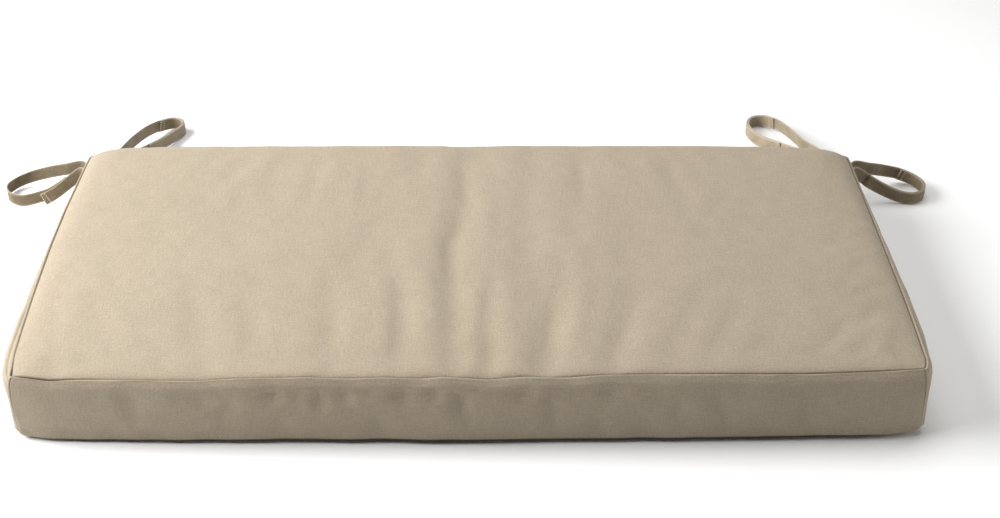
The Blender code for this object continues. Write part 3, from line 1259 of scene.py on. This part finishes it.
    def plan(self, at: Spots) -> Arrays:
        """Where the points go, seen from above.

        Every point keeps its share of the half width and half depth that the sides reach
        at its height, where the foot curls in. Near a corner a side's points are turned
        on to a quarter circle, which grows from the top seam to the foot.

        Args:
            at: The points.

        Returns:
            The points' places across and along.
        """
        curled = self.curl * np.maximum(1 - at.z / self.curl_height, 0.0) ** 2
        left, right = (self.reach(side, at.y, at.drop) for side in (LEFT_SIDE, RIGHT_SIDE))
        front, back = (self.reach(side, at.x, at.drop) for side in (FRONT_SIDE, BACK_SIDE))
        x = at.right * (np.where(at.right < 0, left, right) - curled)
        y = at.back * (np.where(at.back < 0, front, back) - curled)
        grown = (1 - at.z / self.seam_height) ** 2
        radius = self.corner_radius_top * (1 - grown) + self.corner_radius_foot * grown
        turn_x = np.clip(1 - at.in_y / radius, 0.0, 1.0) * math.pi / 4
        turn_y = np.clip(1 - at.in_x / radius, 0.0, 1.0) * math.pi / 4
        slide_x = np.where(at.in_y < radius, radius - at.in_y - radius * np.sin(turn_x), 0.0)
        slide_y = np.where(at.in_x < radius, radius - at.in_x - radius * np.sin(turn_y), 0.0)
        by_end = at.in_x <= at.in_y
        fade_x, fade_y = (np.exp(-inset / self.corner_reach) for inset in (at.in_x, at.in_y))
        pulled_x = fade_x * radius * (1 - np.cos(turn_x)) + fade_y * slide_y * ~by_end
        pulled_y = fade_y * radius * (1 - np.cos(turn_y)) + fade_x * slide_x * by_end
        return x - np.sign(at.right) * pulled_x, y - np.sign(at.back) * pulled_y

    def height(self, at: Spots) -> Array:
        """How high the points go.

        The seam has a height for each corner, the measured wave at the front and a rise
        at the back. The foot has a small one, and lifts at the front and at the corners.
        A side's points keep their share of the way from foot to seam. The top has its
        crown, and the bottom rolls down to the floor.

        Args:
            at: The points.

        Returns:
            The points' heights.
        """
        seam = self.seam_height + at.blend(self.corner_lifts)
        seam += FRONT_WAVE.at(at.x) * np.exp(-at.from_front / self.wave_reach)
        back_rise = self.back_seam_rise * np.exp(-at.in_y / self.back_seam_reach)
        back_rise *= 1 - np.exp(-at.in_x / self.back_seam_over)
        seam += back_rise * np.clip(2 * at.back, 0.0, 1.0)
        front_foot = FRONT_FOOT.at(at.x) - self.foot_height
        foot = self.foot_height + front_foot * np.exp(-at.from_front / self.front_foot_reach)
        corner_foot = at.blend(self.foot_corner_lifts)
        foot += corner_foot * np.exp(-(at.in_x + at.in_y) / self.foot_corner_reach)
        side = foot + (seam - foot) * at.z / self.seam_height
        under = foot * np.exp(-at.nearest / self.foot_roll)
        inside = at.on_bottom & (at.nearest >= TOUCHING)
        return np.where(at.on_top, seam + self.crown(at), np.where(inside, under, side))

    def top_seam(self, at: Spots) -> Arrays:
        """The seam round the top: a ridge on it, and a groove in the panel beside it.

        The groove turns each corner on a quarter circle. It is deeper, wider and more darkly
        painted with shade where the seam gapes. A faint dip follows below the seam.

        Args:
            at: The points.

        Returns:
            The rise, and the share of painted groove shade.
        """
        inset = np.minimum(at.in_x, at.in_y * self.long_lip_share)
        short_x = self.groove_turn - np.minimum(at.in_x, self.groove_turn)
        short_y = self.groove_turn - np.minimum(at.in_y * self.long_lip_share, self.groove_turn)
        turning = (short_x > 0) & (short_y > 0)
        inset = np.where(turning, self.groove_turn - np.hypot(short_x, short_y), inset)
        left, front = (at.x < 0) & (at.in_x < at.in_y), (at.y < 0) & (at.in_y <= at.in_x)
        gape = np.where(left, LEFT_GAPE.at(at.y), self.plain_gape)
        gape = np.where(front, FRONT_GAPE.at(at.x), gape)
        wider = 1 + self.wide_gape_wider * np.clip(gape - self.wide_gape, 0, 1)
        groove = at.on_top * bell(inset - self.lip, self.groove_width * wider)
        rise = at.on_top * self.ridge * bell(at.nearest, self.ridge_width)
        rise += at.on_side * self.ridge * bell(at.drop, self.ridge_width)
        rise -= self.groove * (self.closed_groove + (1 - self.closed_groove) * gape) * groove
        below = bell(at.drop - self.under_seam_drop, self.under_seam_width)
        rise -= at.on_side * self.under_seam * below
        # The groove's painted shade, the more where the seam gapes
        return rise, groove * (self.closed_shade + self.gape_shade * gape)

    def corner_seams(self, at: Spots) -> Arrays:
        """The upright seams: a ridge on each, and a groove beside it.

        Args:
            at: The points.

        Returns:
            The rise, and the share of painted groove shade.
        """
        inset = np.where(at.on_long, at.in_x, at.in_y)
        groove = bell(inset - self.upright_inset, self.upright_groove_width)
        groove *= at.on_side * (at.z > self.upright_from)
        ridge = at.on_side * bell(inset, self.upright_ridge_width)
        # Painted shade in the groove, lighter at the front left corner
        shade = np.where((at.x < 0) & (at.y < 0), self.left_front_shade, self.upright_shade)
        return self.upright_ridge * ridge - self.upright_groove * groove, groove * shade

    def end_creases(self, at: Spots) -> Arrays:
        """The crease below each end's top seam, at its measured drop and strength.

        Args:
            at: The points.

        Returns:
            The rise, and the share of painted crease shade.
        """
        left = bell(at.drop - LEFT_CREASE_DROP.at(at.y), self.crease_width)
        right = bell(at.drop - RIGHT_CREASE_DROP.at(at.y), self.crease_width)
        left, right = left * LEFT_CREASE_DEPTH.at(at.y), right * RIGHT_CREASE_DEPTH.at(at.y)
        crease = at.on_end * np.where(at.x < 0, left, right)
        # The crease is dented and painted with shade
        return -self.crease * crease, self.crease_shade * crease

    def unevenness(self, at: Spots) -> Array:
        """The rise of the folds, puckers, ripples, crumples, creases and dents.

        Folds and ripples of the top come in beside the seams, sooner at the front one.

        Args:
            at: The points.

        Returns:
            The rise at each point.
        """
        calm = 1 - np.exp(-at.nearest / self.calm_over)
        front_calm = 1 - np.exp(-at.in_y / self.front_calm_over)
        calm = np.where((at.y < 0) & (at.in_y < at.in_x), front_calm, calm)
        folded = self.folds(at.x, at.y) + self.puckers(at.x, at.y)
        rise = at.on_top * calm * (folded + self.ripple(at.x, at.y, self.ripple_length))
        rise += at.on_side * self.ripple(at.x + at.y, at.z, self.side_ripple_length)
        crumple = self.ripple(at.x, at.z * self.crumple_stretch, self.crumple_length)
        crumple *= bell(at.drop - self.crumple_drop, self.crumple_reach)
        crease = bell(at.drop - self.front_crease_drop, self.front_crease_width)
        front = (crumple - self.front_crease * crease) * FRONT_CREASE.at(at.x)
        for x, height, half_width, half_height, depth in np.array(DIMPLES) / PER_METRE:
            front -= depth * bell(at.x - x, half_width) * bell(at.z - height, half_height)
        return rise + at.on_front * front

    def details(self, at: Spots) -> Arrays:
        """How far cloth stands out of the smooth form, and how much painted shade it gets.

        A painted shadow darkens the front over its bottom seam up to its measured height, where
        it ends in a soft step.

        Args:
            at: The points.

        Returns:
            The rise along the outward direction, and the share of painted shade, at each point:
            1 is a groove's painted shade and 2 the darkest painted shadow, of an open gap.
        """
        parts = (self.top_seam(at), self.corner_seams(at), self.end_creases(at))
        rise = sum(part[0] for part in parts) + self.unevenness(at)
        painted_shade = np.clip(sum(part[1] for part in parts), 0.0, self.most_groove_shade)
        # Painted shadow over the front's bottom seam, near-black up to the table's height
        shadow_top = FRONT_SHADOW.at(at.x)
        shadow_band = 1 / (1 + np.exp((at.z - shadow_top) / self.shadow_edge))
        painted_shade += at.on_front * self.darkest_painted_shade * shadow_band * np.clip(shadow_top / self.shadow_least, 0.0, 1.0)
        return rise, np.clip(painted_shade, 0.0, self.darkest_painted_shade)

    @staticmethod
    def outward(at: Spots) -> Array:
        """The direction in which details stand out: the sum of the facing sides' axes.

        Args:
            at: The points.

        Returns:
            The direction at each point, one a row.
        """
        east = (at.in_x < TOUCHING) * np.sign(at.x)
        north = (at.in_y < TOUCHING) * np.sign(at.y)
        return unit(np.stack([east, north, at.on_top + 1e-9], axis=1))

    def surface(self, x0: Array, y0: Array, z0: Array) -> Array:
        """The finished surface at points of the plain box.

        Args:
            x0: Places across the box.
            y0: Places along it.
            z0: Heights on it.

        Returns:
            The finished points, one a row.
        """
        at = Spots(self, x0, y0, z0)
        smooth = np.stack([*self.plan(at), self.height(at)], axis=1)
        return smooth + self.details(at)[0][:, None] * self.outward(at)

    def build(self) -> Piece:
        """Make the cushion's one closed mesh and dress it.

        Returns:
            The cushion's cover.
        """
        xs = self.places(self.width, self.step, self.seam_offsets)
        ys = self.places(self.depth, self.step, self.seam_offsets)
        zs = self.places(self.seam_height, self.upright_step, self.upright_offsets)
        zs += self.seam_height / 2
        _, (i, j, k), faces = shell_of(xs, ys, zs)
        place = (xs[i], ys[j], zs[k])
        points = self.surface(*place)
        points += Filling().press(self, (xs, ys, zs))[i, j, k]
        maps = []
        for panel, quads in zip(Panel, faces):
            axis, sign = panel.value
            first, second = [line for n, line in enumerate(place) if n != axis]
            apart = AXES_APART * (axis + 1) + SIDES_APART * sign
            maps.append(np.stack([first[quads] + apart, second[quads]], axis=-1))
        piece = new_piece("cushion_cover", points, np.concatenate(faces), COVER_MATERIAL)
        lay_cloth_map(piece, np.concatenate(maps).reshape(-1, 2))
        store_wear_and_painted_light(piece, self.details(Spots(self, *place))[1])
        return settle(piece, "cover", "cushion")

    def line_on(self, x0: Array, y0: Array, z0: Array) -> Arrays:
        """A line on the finished surface, and the outward directions along it."""
        return self.surface(x0, y0, z0), self.outward(Spots(self, x0, y0, z0))

    def boxing_line(self, z0: float, side: Panel) -> Arrays:
        """A level line on one side of the boxing, between its two corner seams.

        Args:
            z0: The line's height on the plain box.
            side: The side.

        Returns:
            The line's points, and the outward direction at each.
        """
        axis, sign = side.value
        half = (self.width if axis == 1 else self.depth) / 2 - self.stitch_ends
        run = np.linspace(-half, half, self.level_steps)
        fixed = np.full_like(run, sign * (self.depth if axis == 1 else self.width) / 2)
        x0, y0 = (run, fixed) if axis == 1 else (fixed, run)
        return self.line_on(x0, y0, np.full_like(run, z0))

    def corner_line(self, east: int, north: int) -> Arrays:
        """An upright line on the front or back boxing, in a corner seam's groove.

        Args:
            east: 1 for a right corner, -1 for a left one.
            north: 1 for a back corner, -1 for a front one.

        Returns:
            The line's points, and the outward direction at each.
        """
        high = self.seam_height - self.stitch_ends
        z0 = np.linspace(self.upright_stitches_from, high, self.upright_steps)
        x0 = np.full_like(z0, east * (self.width / 2 - self.upright_inset))
        return self.line_on(x0, np.full_like(z0, north * self.depth / 2), z0)

    def sew(self) -> None:
        """Stitch the top seam under its lip, and the bottom and corner seams."""
        high, low = self.seam_height - self.stitch_drop, self.stitch_rise
        seams = {
            "top": [self.boxing_line(high, side) for side in UPRIGHT_PANELS],
            "bottom": [self.boxing_line(low, side) for side in UPRIGHT_PANELS],
            "corner": [self.corner_line(east, north) for east in (-1, 1) for north in (-1, 1)],
        }
        for name, lines in seams.items():
            stitches = Stitches(SEAM_THREAD)
            proud = self.stitch_proud if name == "top" else 0.0
            for line, normal in lines:
                stitches.row(line + normal * proud, normal, SEAM_STITCH)
            stitches.piece(f"{name}_seam_stitching", "cover")


# ---------------------------------------------------------------- tie loops


class Ply(NamedTuple):
    """One strap of a loop: its node, middle line, flat side's directions and free end."""

    node: str
    line: Array
    normal: Array
    free_end_first: bool


@dataclass
class TieLoop:
    """One tie loop: a long strap, and a short strap that laps it and is sewn at its end.

    Its stops are places on the middle line, in millimetres: how far aside of and behind
    the back corner's foot, and how high. A ply's number is its place in the corner seam.
    """

    name: str
    side: int
    long_ply: float
    short_ply: float
    material: Material
    stops: tuple[Place, ...]
    short_length: float
    long_stops_short_by: float
    short_outside: int
    droop: float = 0.0
    strap_width: float = 0.020
    strap_thickness: float = 0.0021
    step: float = 0.0025
    # Where the plies are caught in the corner seam
    root_height: float = 0.060
    root_depth: float = 0.0035
    ply_spacing: float = 0.0030
    # The short strap's way on to the long one
    lap_gap: float = 0.0004
    lap_from: float = 0.014
    lap_over: float = 0.034
    pressed: float = 0.35
    # The free end: its turned-in cloth and its rounded edge
    turned_in: float = 0.0105
    turned_in_edge: float = 0.0006
    turned_in_swell: float = 0.12
    end_round: float = 0.0030
    end_thick: float = 0.30
    # The strap's slow twist, and its lighter edges: partly wear, partly painted highlight
    twist: float = 0.014
    twist_places: int = 14
    wear_and_highlight: float = 0.75
    wear_and_highlight_width: float = 0.0015
    # The stitches, as shares of the width and thickness, and the end rows' insets
    edge_row: float = 0.78
    edge_row_out: float = 0.38
    edge_row_ends: int = 9
    end_row: float = 0.46
    end_row_out: float = 0.62
    end_row_insets: tuple[float, float] = (0.0018, 0.0095)
    end_row_steps: int = 40
    curve_steps: int = 1600
    section_across: tuple[float, ...] = (
        -1.0, -0.985, -0.93, -0.84, -0.78, -0.70, -0.35, 0.0, 0.35, 0.70, 0.78, 0.84, 0.93,
        0.985, 1.0,
    )
    section_thick: tuple[float, ...] = (
        0.0, 0.62, 0.98, 0.96, 0.70, 0.96, 1.0, 1.0, 1.0, 0.96, 0.70, 0.96, 0.98, 0.62, 0.0,
    )

    def root(self, cushion: Cushion, ply: float) -> Array:
        """The point inside its corner seam where a ply is caught.

        Args:
            cushion: The cushion that the loop is sewn to.
            ply: The ply's number.

        Returns:
            The point, as one row.
        """
        corner = (self.side * cushion.width / 2, cushion.depth / 2, self.root_height)
        foot = cushion.surface(*(np.array([place]) for place in corner))
        foot += unit(np.array([self.side, -1.0, 0.0])) * ply * self.ply_spacing
        foot[:, 2] = self.root_height
        return foot - unit(np.array([self.side, 1.0, 0.0])) * self.root_depth

    def line(self, cushion: Cushion) -> Array:
        """The whole middle line, even-stepped on a smooth curve through the stops.

        Between two stops the curve is the cubic that has the stops' places and slopes.

        Args:
            cushion: The cushion that the loop is sewn to.

        Returns:
            The line's points, a step apart.
        """
        middle = np.array(self.stops) / PER_METRE * (self.side, 1.0, 1.0)
        middle += (self.side * cushion.width / 2, cushion.depth / 2, 0.0)
        roots = (self.root(cushion, ply) for ply in (self.long_ply, self.short_ply))
        given = np.insert(np.concatenate([*roots]), 1, middle, axis=0)
        spans = np.sqrt(np.linalg.norm(np.diff(given, axis=0), axis=1))
        knots = np.concatenate([[0.0], np.cumsum(spans)])
        slopes = np.gradient(given, knots, axis=0)
        fine = np.linspace(0.0, knots[-1], self.curve_steps)
        piece = np.clip(np.searchsorted(knots, fine, side="right") - 1, 0, len(given) - 2)
        width = knots[piece + 1] - knots[piece]
        share = (fine - knots[piece]) / width
        to_next = 3 * share**2 - 2 * share**3
        curve = (
            (1 - to_next)[:, None] * given[piece]
            + ((share**3 - 2 * share**2 + share) * width)[:, None] * slopes[piece]
            + to_next[:, None] * given[piece + 1]
            + ((share**3 - share**2) * width)[:, None] * slopes[piece + 1]
        )
        far = run_along(curve)
        marks = np.linspace(0.0, far[-1], int(round(far[-1] / self.step)) + 1)
        return at_marks(marks, far, curve)

    @staticmethod
    def frames(line: Array) -> Arrays:
        """The strap's upright and its flat side's normal at each point of a line.

        Args:
            line: The line's points.

        Returns:
            Both directions, a row for each point.
        """
        ahead = unit(np.gradient(line, axis=0))
        upright = unit(np.array([0.0, 0.0, 1.0]) - ahead[:, 2:3] * ahead)
        return upright, np.cross(ahead, upright)

    def ribbon(self, ply: Ply) -> Piece:
        """One folded strap: a flat rounded section carried along its line.

        A point is the line's point, plus the section's place across times the upright,
        plus its thickness times the normal. The free end is thicker where its cloth is
        turned in, and the strap twists a little at random.

        Args:
            ply: The strap's line.

        Returns:
            The strap.
        """
        name = f"{ply.node}_strap"
        upright, _ = self.frames(ply.line)
        across = np.array(self.section_across) * self.strap_width / 2
        thick = np.array(self.section_thick) * self.strap_thickness / 2
        ring_across = np.concatenate([across, across[1:-1][::-1]])
        ring_thick = np.concatenate([thick, -thick[1:-1][::-1]])
        shape = (len(ply.line), len(ring_across))
        far = np.arange(shape[0]) * self.step
        from_free = far if ply.free_end_first else far[::-1]
        past_turned = (from_free - self.turned_in) / self.turned_in_edge
        swell = 1 + self.turned_in_swell / (1 + np.exp(past_turned))
        swell *= np.clip(from_free / self.end_round + self.end_thick, 0.0, 1.0)
        chance = np.random.default_rng(len(name) + int(1000 * ply.line[0, 0] ** 2))
        turns = chance.normal(0.0, self.twist, self.twist_places)
        twist = np.interp(far, np.linspace(0, far[-1], self.twist_places), turns)
        out = ring_thick[None, :] * swell[:, None] + twist[:, None] * ring_across[None, :]
        points = ply.line[:, None, :] + ring_across[None, :, None] * upright[:, None, :]
        points = points + out[:, :, None] * ply.normal[:, None, :]
        numbers = np.arange(points[..., 0].size).reshape(shape)
        half = len(across)
        caps = []
        for ring, turned in ((numbers[0], True), (numbers[-1], False)):
            back = np.concatenate([ring[:1], ring[half:][::-1], ring[half - 1 : half]])
            caps.append(quads_of(np.stack([ring[:half], back]), flipped=turned))
        faces = np.concatenate([tube_of(numbers), *caps])
        piece = new_piece(name, points.reshape(-1, 3), faces, self.material)
        # The caps' outermost quads have a corner twice, and become triangles here
        piece.data.validate(clean_customdata=False)
        used = np.empty(len(piece.data.loops), np.int64)
        piece.data.loops.foreach_get("vertex_index", used)
        along = np.broadcast_to(far[:, None] + self.side, shape).ravel()[used]
        aside = np.broadcast_to(ring_across, shape).ravel()[used]
        lay_cloth_map(piece, np.stack([along, aside], axis=1))
        # Both edges are made lighter with the groove colour: partly wear, partly painted
        # highlight
        worn_and_lit = self.wear_and_highlight * bell(np.abs(ring_across) - self.strap_width / 2, self.wear_and_highlight_width)
        store_wear_and_painted_light(piece, np.broadcast_to(worn_and_lit, shape).ravel())
        return piece

    def build(self, cushion: Cushion) -> None:
        """Make both straps of the loop, and the stitches on them.

        Past its root the short strap moves on to one flat side of the long one, by a
        smooth step, and both free ends are pressed on to the other strap.

        Args:
            cushion: The cushion that the loop is sewn to.
        """
        line = self.line(cushion)
        normal = self.frames(line)[1]
        far = len(line) // 2
        facing_out = float(np.sign((line[far] - line.mean(axis=0)) @ normal[far]))
        over = facing_out * self.short_outside
        left_out = int(round(self.long_stops_short_by / self.step))
        kept = int(round(self.short_length / self.step))
        long = Ply(f"{self.name}_long", line[:-left_out].copy(), normal[:-left_out], False)
        short = Ply(f"{self.name}_short", line[-kept - 1 :].copy(), normal[-kept - 1 :], True)
        from_root = np.arange(kept, -1, -1) * self.step
        lapped = np.clip((from_root - self.lap_from) / self.lap_over, 0.0, 1.0)
        shift = over * (self.strap_thickness + self.lap_gap) * lapped * lapped * (3 - 2 * lapped)
        short.line[:] += short.normal * shift[:, None]
        pressed = self.pressed * self.strap_thickness * over
        short.line[0] -= pressed * short.normal[0]
        long.line[-1] += pressed * long.normal[-1]
        short.line[:, 2] -= self.droop * (from_root / from_root[0]) ** 4
        for ply in (long, short):
            strap = self.ribbon(ply)
            settle(strap, "strap", ply.node)
            flat = (self.strap_width, float(run_along(ply.line)[-1]))
        self.sew((long, short), over)

    def sew(self, plies: tuple[Ply, Ply], over: float) -> None:
        """Stitch along both edges of each strap, and twice across the short strap's end.

        Args:
            plies: The long and the short strap.
            over: Which way of its normal the short strap's open side faces, 1 or -1.
        """
        edge, end = Stitches(EDGE_THREAD), Stitches(STRAP_THREAD)
        kept = slice(self.edge_row_ends, -self.edge_row_ends)
        for ply in plies:
            upright, _ = self.frames(ply.line)
            for face in (-1.0, 1.0):
                for rim in (-self.edge_row, self.edge_row):
                    path = ply.line + upright * (rim * self.strap_width / 2)
                    path = path + ply.normal * (face * self.strap_thickness * self.edge_row_out)
                    edge.row(path[kept], ply.normal[kept] * face, EDGE_STITCH)
        short = plies[1]
        upright, _ = self.frames(short.line)
        reach = np.linspace(-self.end_row, self.end_row, self.end_row_steps)[:, None]
        for inset in self.end_row_insets:
            share, low = math.modf(inset / self.step)
            at = int(low)
            middle = short.line[at] * (1 - share) + short.line[at + 1] * share
            outward = short.normal[at] * over
            middle += outward * (self.strap_thickness * self.end_row_out)
            path = middle + upright[at] * reach * self.strap_width
            end.row(path, np.broadcast_to(outward, path.shape), END_STITCH)
        end.piece(f"{self.name}_end_stitching", "strap")
        edge.piece(f"{self.name}_edge_stitching", "strap")


LOOPS = (
    TieLoop(
        name="side_tie_left", side=-1, long_ply=0.5, short_ply=1.5,
        material=SHADED_SIDE_STRAP_MATERIAL,
        stops=(
            (26, 49, 54), (57, 61, 42), (90, 74, 28), (123, 77, 16.5), (142, 67, 12.2),
            (151, 50, 11.3), (144, 30, 11.3), (122, 19, 11.6), (95, 22, 16), (78, 21, 22.5),
            (61, 24, 32), (42, 30, 44), (24, 28, 56),
        ),
        short_length=0.112, long_stops_short_by=0.062, short_outside=1, droop=0.005,
    ),
    TieLoop(
        name="side_tie_right", side=1, long_ply=0.5, short_ply=1.5,
        material=SHADED_SIDE_STRAP_MATERIAL,
        stops=(
            (22, 41, 54.2), (51, 55, 41.8), (82, 72, 26.8), (110, 78, 16.5), (129, 69, 12.2),
            (140, 48, 11.3), (134, 26, 11.3), (117, 16, 11.3), (98, 18, 12.5), (79, 22, 18.5),
            (56, 25, 30), (35, 24, 45), (21, 21, 55),
        ),
        short_length=0.232, long_stops_short_by=0.055, short_outside=-1,
    ),
    TieLoop(
        name="back_tie_left", side=-1, long_ply=-0.5, short_ply=-1.5,
        material=SHADED_LEFT_BACK_STRAP_MATERIAL,
        stops=(
            (-22, 88, 52), (-31, 156, 36), (-44, 209, 23), (-61, 240, 15), (-77, 252, 11.8),
            (-92, 247, 11.3), (-96, 232, 11.3), (-84, 207, 12.5), (-70, 176, 17.5),
            (-53, 135, 28), (-36, 85, 44), (-20, 43, 55),
        ),
        short_length=0.318, long_stops_short_by=0.150, short_outside=-1,
    ),
    TieLoop(
        name="back_tie_right", side=1, long_ply=-0.5, short_ply=-1.5,
        material=LIT_BACK_STRAP_MATERIAL,
        stops=(
            (-24, 77, 54), (-38, 128, 40), (-51, 194, 25), (-64, 235, 16), (-82, 254, 12),
            (-101, 252, 11.3), (-113, 233, 11.3), (-109, 206, 11.8), (-95, 180, 14.2),
            (-75, 148, 23), (-55, 104, 38), (-32, 55, 52),
        ),
        short_length=0.330, long_stops_short_by=0.160, short_outside=-1,
    ),
)


# ---------------------------------------------------------------- studio


@dataclass(frozen=True)
class Camera:
    """The camera that took the picture, as fitted to the cushion's corners."""

    place: Place = (0.01301, -1.79004, 1.37694)
    yaw: float = 0.9084
    pitch: float = 35.6666
    roll: float = 0.2983
    lens: float = 57.30
    sensor: float = 36.0
    nearest: float = 0.05

    def build(self) -> None:
        """Set up the camera, turned by yaw, then pitch, then roll."""
        yaw, pitch, roll = (math.radians(turn) for turn in (self.yaw, self.pitch, self.roll))
        ahead = Vector(
            (math.sin(yaw) * math.cos(pitch), math.cos(yaw) * math.cos(pitch), -math.sin(pitch))
        )
        level = Vector((math.cos(yaw), -math.sin(yaw), 0.0))
        up = level.cross(ahead)
        right = level * math.cos(roll) + up * math.sin(roll)
        top = up * math.cos(roll) - level * math.sin(roll)
        data = bpy.data.cameras.new("camera")
        data.lens = self.lens
        data.sensor_width = self.sensor
        data.clip_start = self.nearest
        camera = bpy.data.objects.new("camera", data)
        turn = Matrix((right, top, -ahead)).transposed().to_4x4()
        camera.matrix_world = Matrix.Translation(self.place) @ turn
        bpy.context.scene.collection.objects.link(camera)
        bpy.context.scene.camera = camera
        LOG.info("camera at %s", self.place)


@dataclass(frozen=True)
class SoftBox:
    """A square panel of soft light that faces a point."""

    name: str
    place: Place
    aim: Place
    size: float
    power: float

    def build(self) -> None:
        """Hang the light and turn it to its aim."""
        data = bpy.data.lights.new(self.name, "AREA")
        data.shape = "SQUARE"
        data.size = self.size
        data.energy = self.power
        light = bpy.data.objects.new(self.name, data)
        light.location = self.place
        facing = Vector(self.aim) - Vector(self.place)
        light.rotation_euler = facing.to_track_quat("-Z", "Y").to_euler()
        bpy.context.scene.collection.objects.link(light)


@dataclass(frozen=True)
class Studio:
    """A pale floor under a large soft light at the left, with dim light all round."""

    floor_reach: float = 14.0
    floor_colour: Colour = (0.90, 0.90, 0.90, 1.0)
    floor_patches: Colour = (0.91, 0.91, 0.90, 1.0)
    patch_spots: float = 3.0
    ambient: float = 0.02
    lights: tuple[SoftBox, ...] = (
        SoftBox("left light", (-2.1, 0.33, 1.6), (0.0, 0.0, 0.0), 1.7, 100.0),
        SoftBox("front left light", (-1.95, -0.75, 1.5), (0.0, 0.0, 0.0), 0.8, 27.5),
        SoftBox("top light", (-0.3, 0.1, 2.6), (0.0, 0.0, 0.0), 1.6, 13.0),
        SoftBox("back light", (0.7, 1.0, 2.4), (0.1, 0.0, 0.0), 2.2, 32.0),
        SoftBox("right light", (2.3, -0.5, 0.6), (0.2, 0.0, 0.05), 1.1, 15.0),
    )

    def build(self) -> None:
        """Lay the floor, hang the lights and light the surroundings."""
        reach = self.floor_reach
        corners = np.array([[-1, -1, 0], [1, -1, 0], [1, 1, 0], [-1, 1, 0]]) * reach
        shader = Shader("pale floor")
        place = shader.node("ShaderNodeTexCoord", {}, {}).outputs["Object"]
        patches = shader.noise(place, (self.patch_spots,) * 3)
        colour = shader.mix(patches, self.floor_colour, self.floor_patches)
        shader.set(Base_Color=colour, Roughness=0.9, Specular_IOR_Level=0.1)
        floor = new_piece("floor", corners, np.array([[0, 1, 2, 3]]), shader.material)
        for light in self.lights:
            light.build()
        scene = bpy.context.scene
        world = bpy.data.worlds.new("studio air")
        world.use_nodes = True
        backdrop = world.node_tree.nodes["Background"]
        backdrop.inputs["Color"].default_value = (1.0, 1.0, 1.0, 1.0)
        backdrop.inputs["Strength"].default_value = self.ambient
        scene.world = world
        scene.view_settings.view_transform = "Standard"
        LOG.info("studio with %d lights", len(self.lights))


def main() -> None:
    """Build the camera and studio, then the cushion, its seams and its tie loops."""
    logging.basicConfig(level=logging.INFO, format="%(name)s: %(message)s")
    Camera().build()
    Studio().build()
    cushion = Cushion()
    cushion.build()
    cushion.sew()
    for loop in LOOPS:
        loop.build(cushion)


if __name__ == "__main__":
    main()
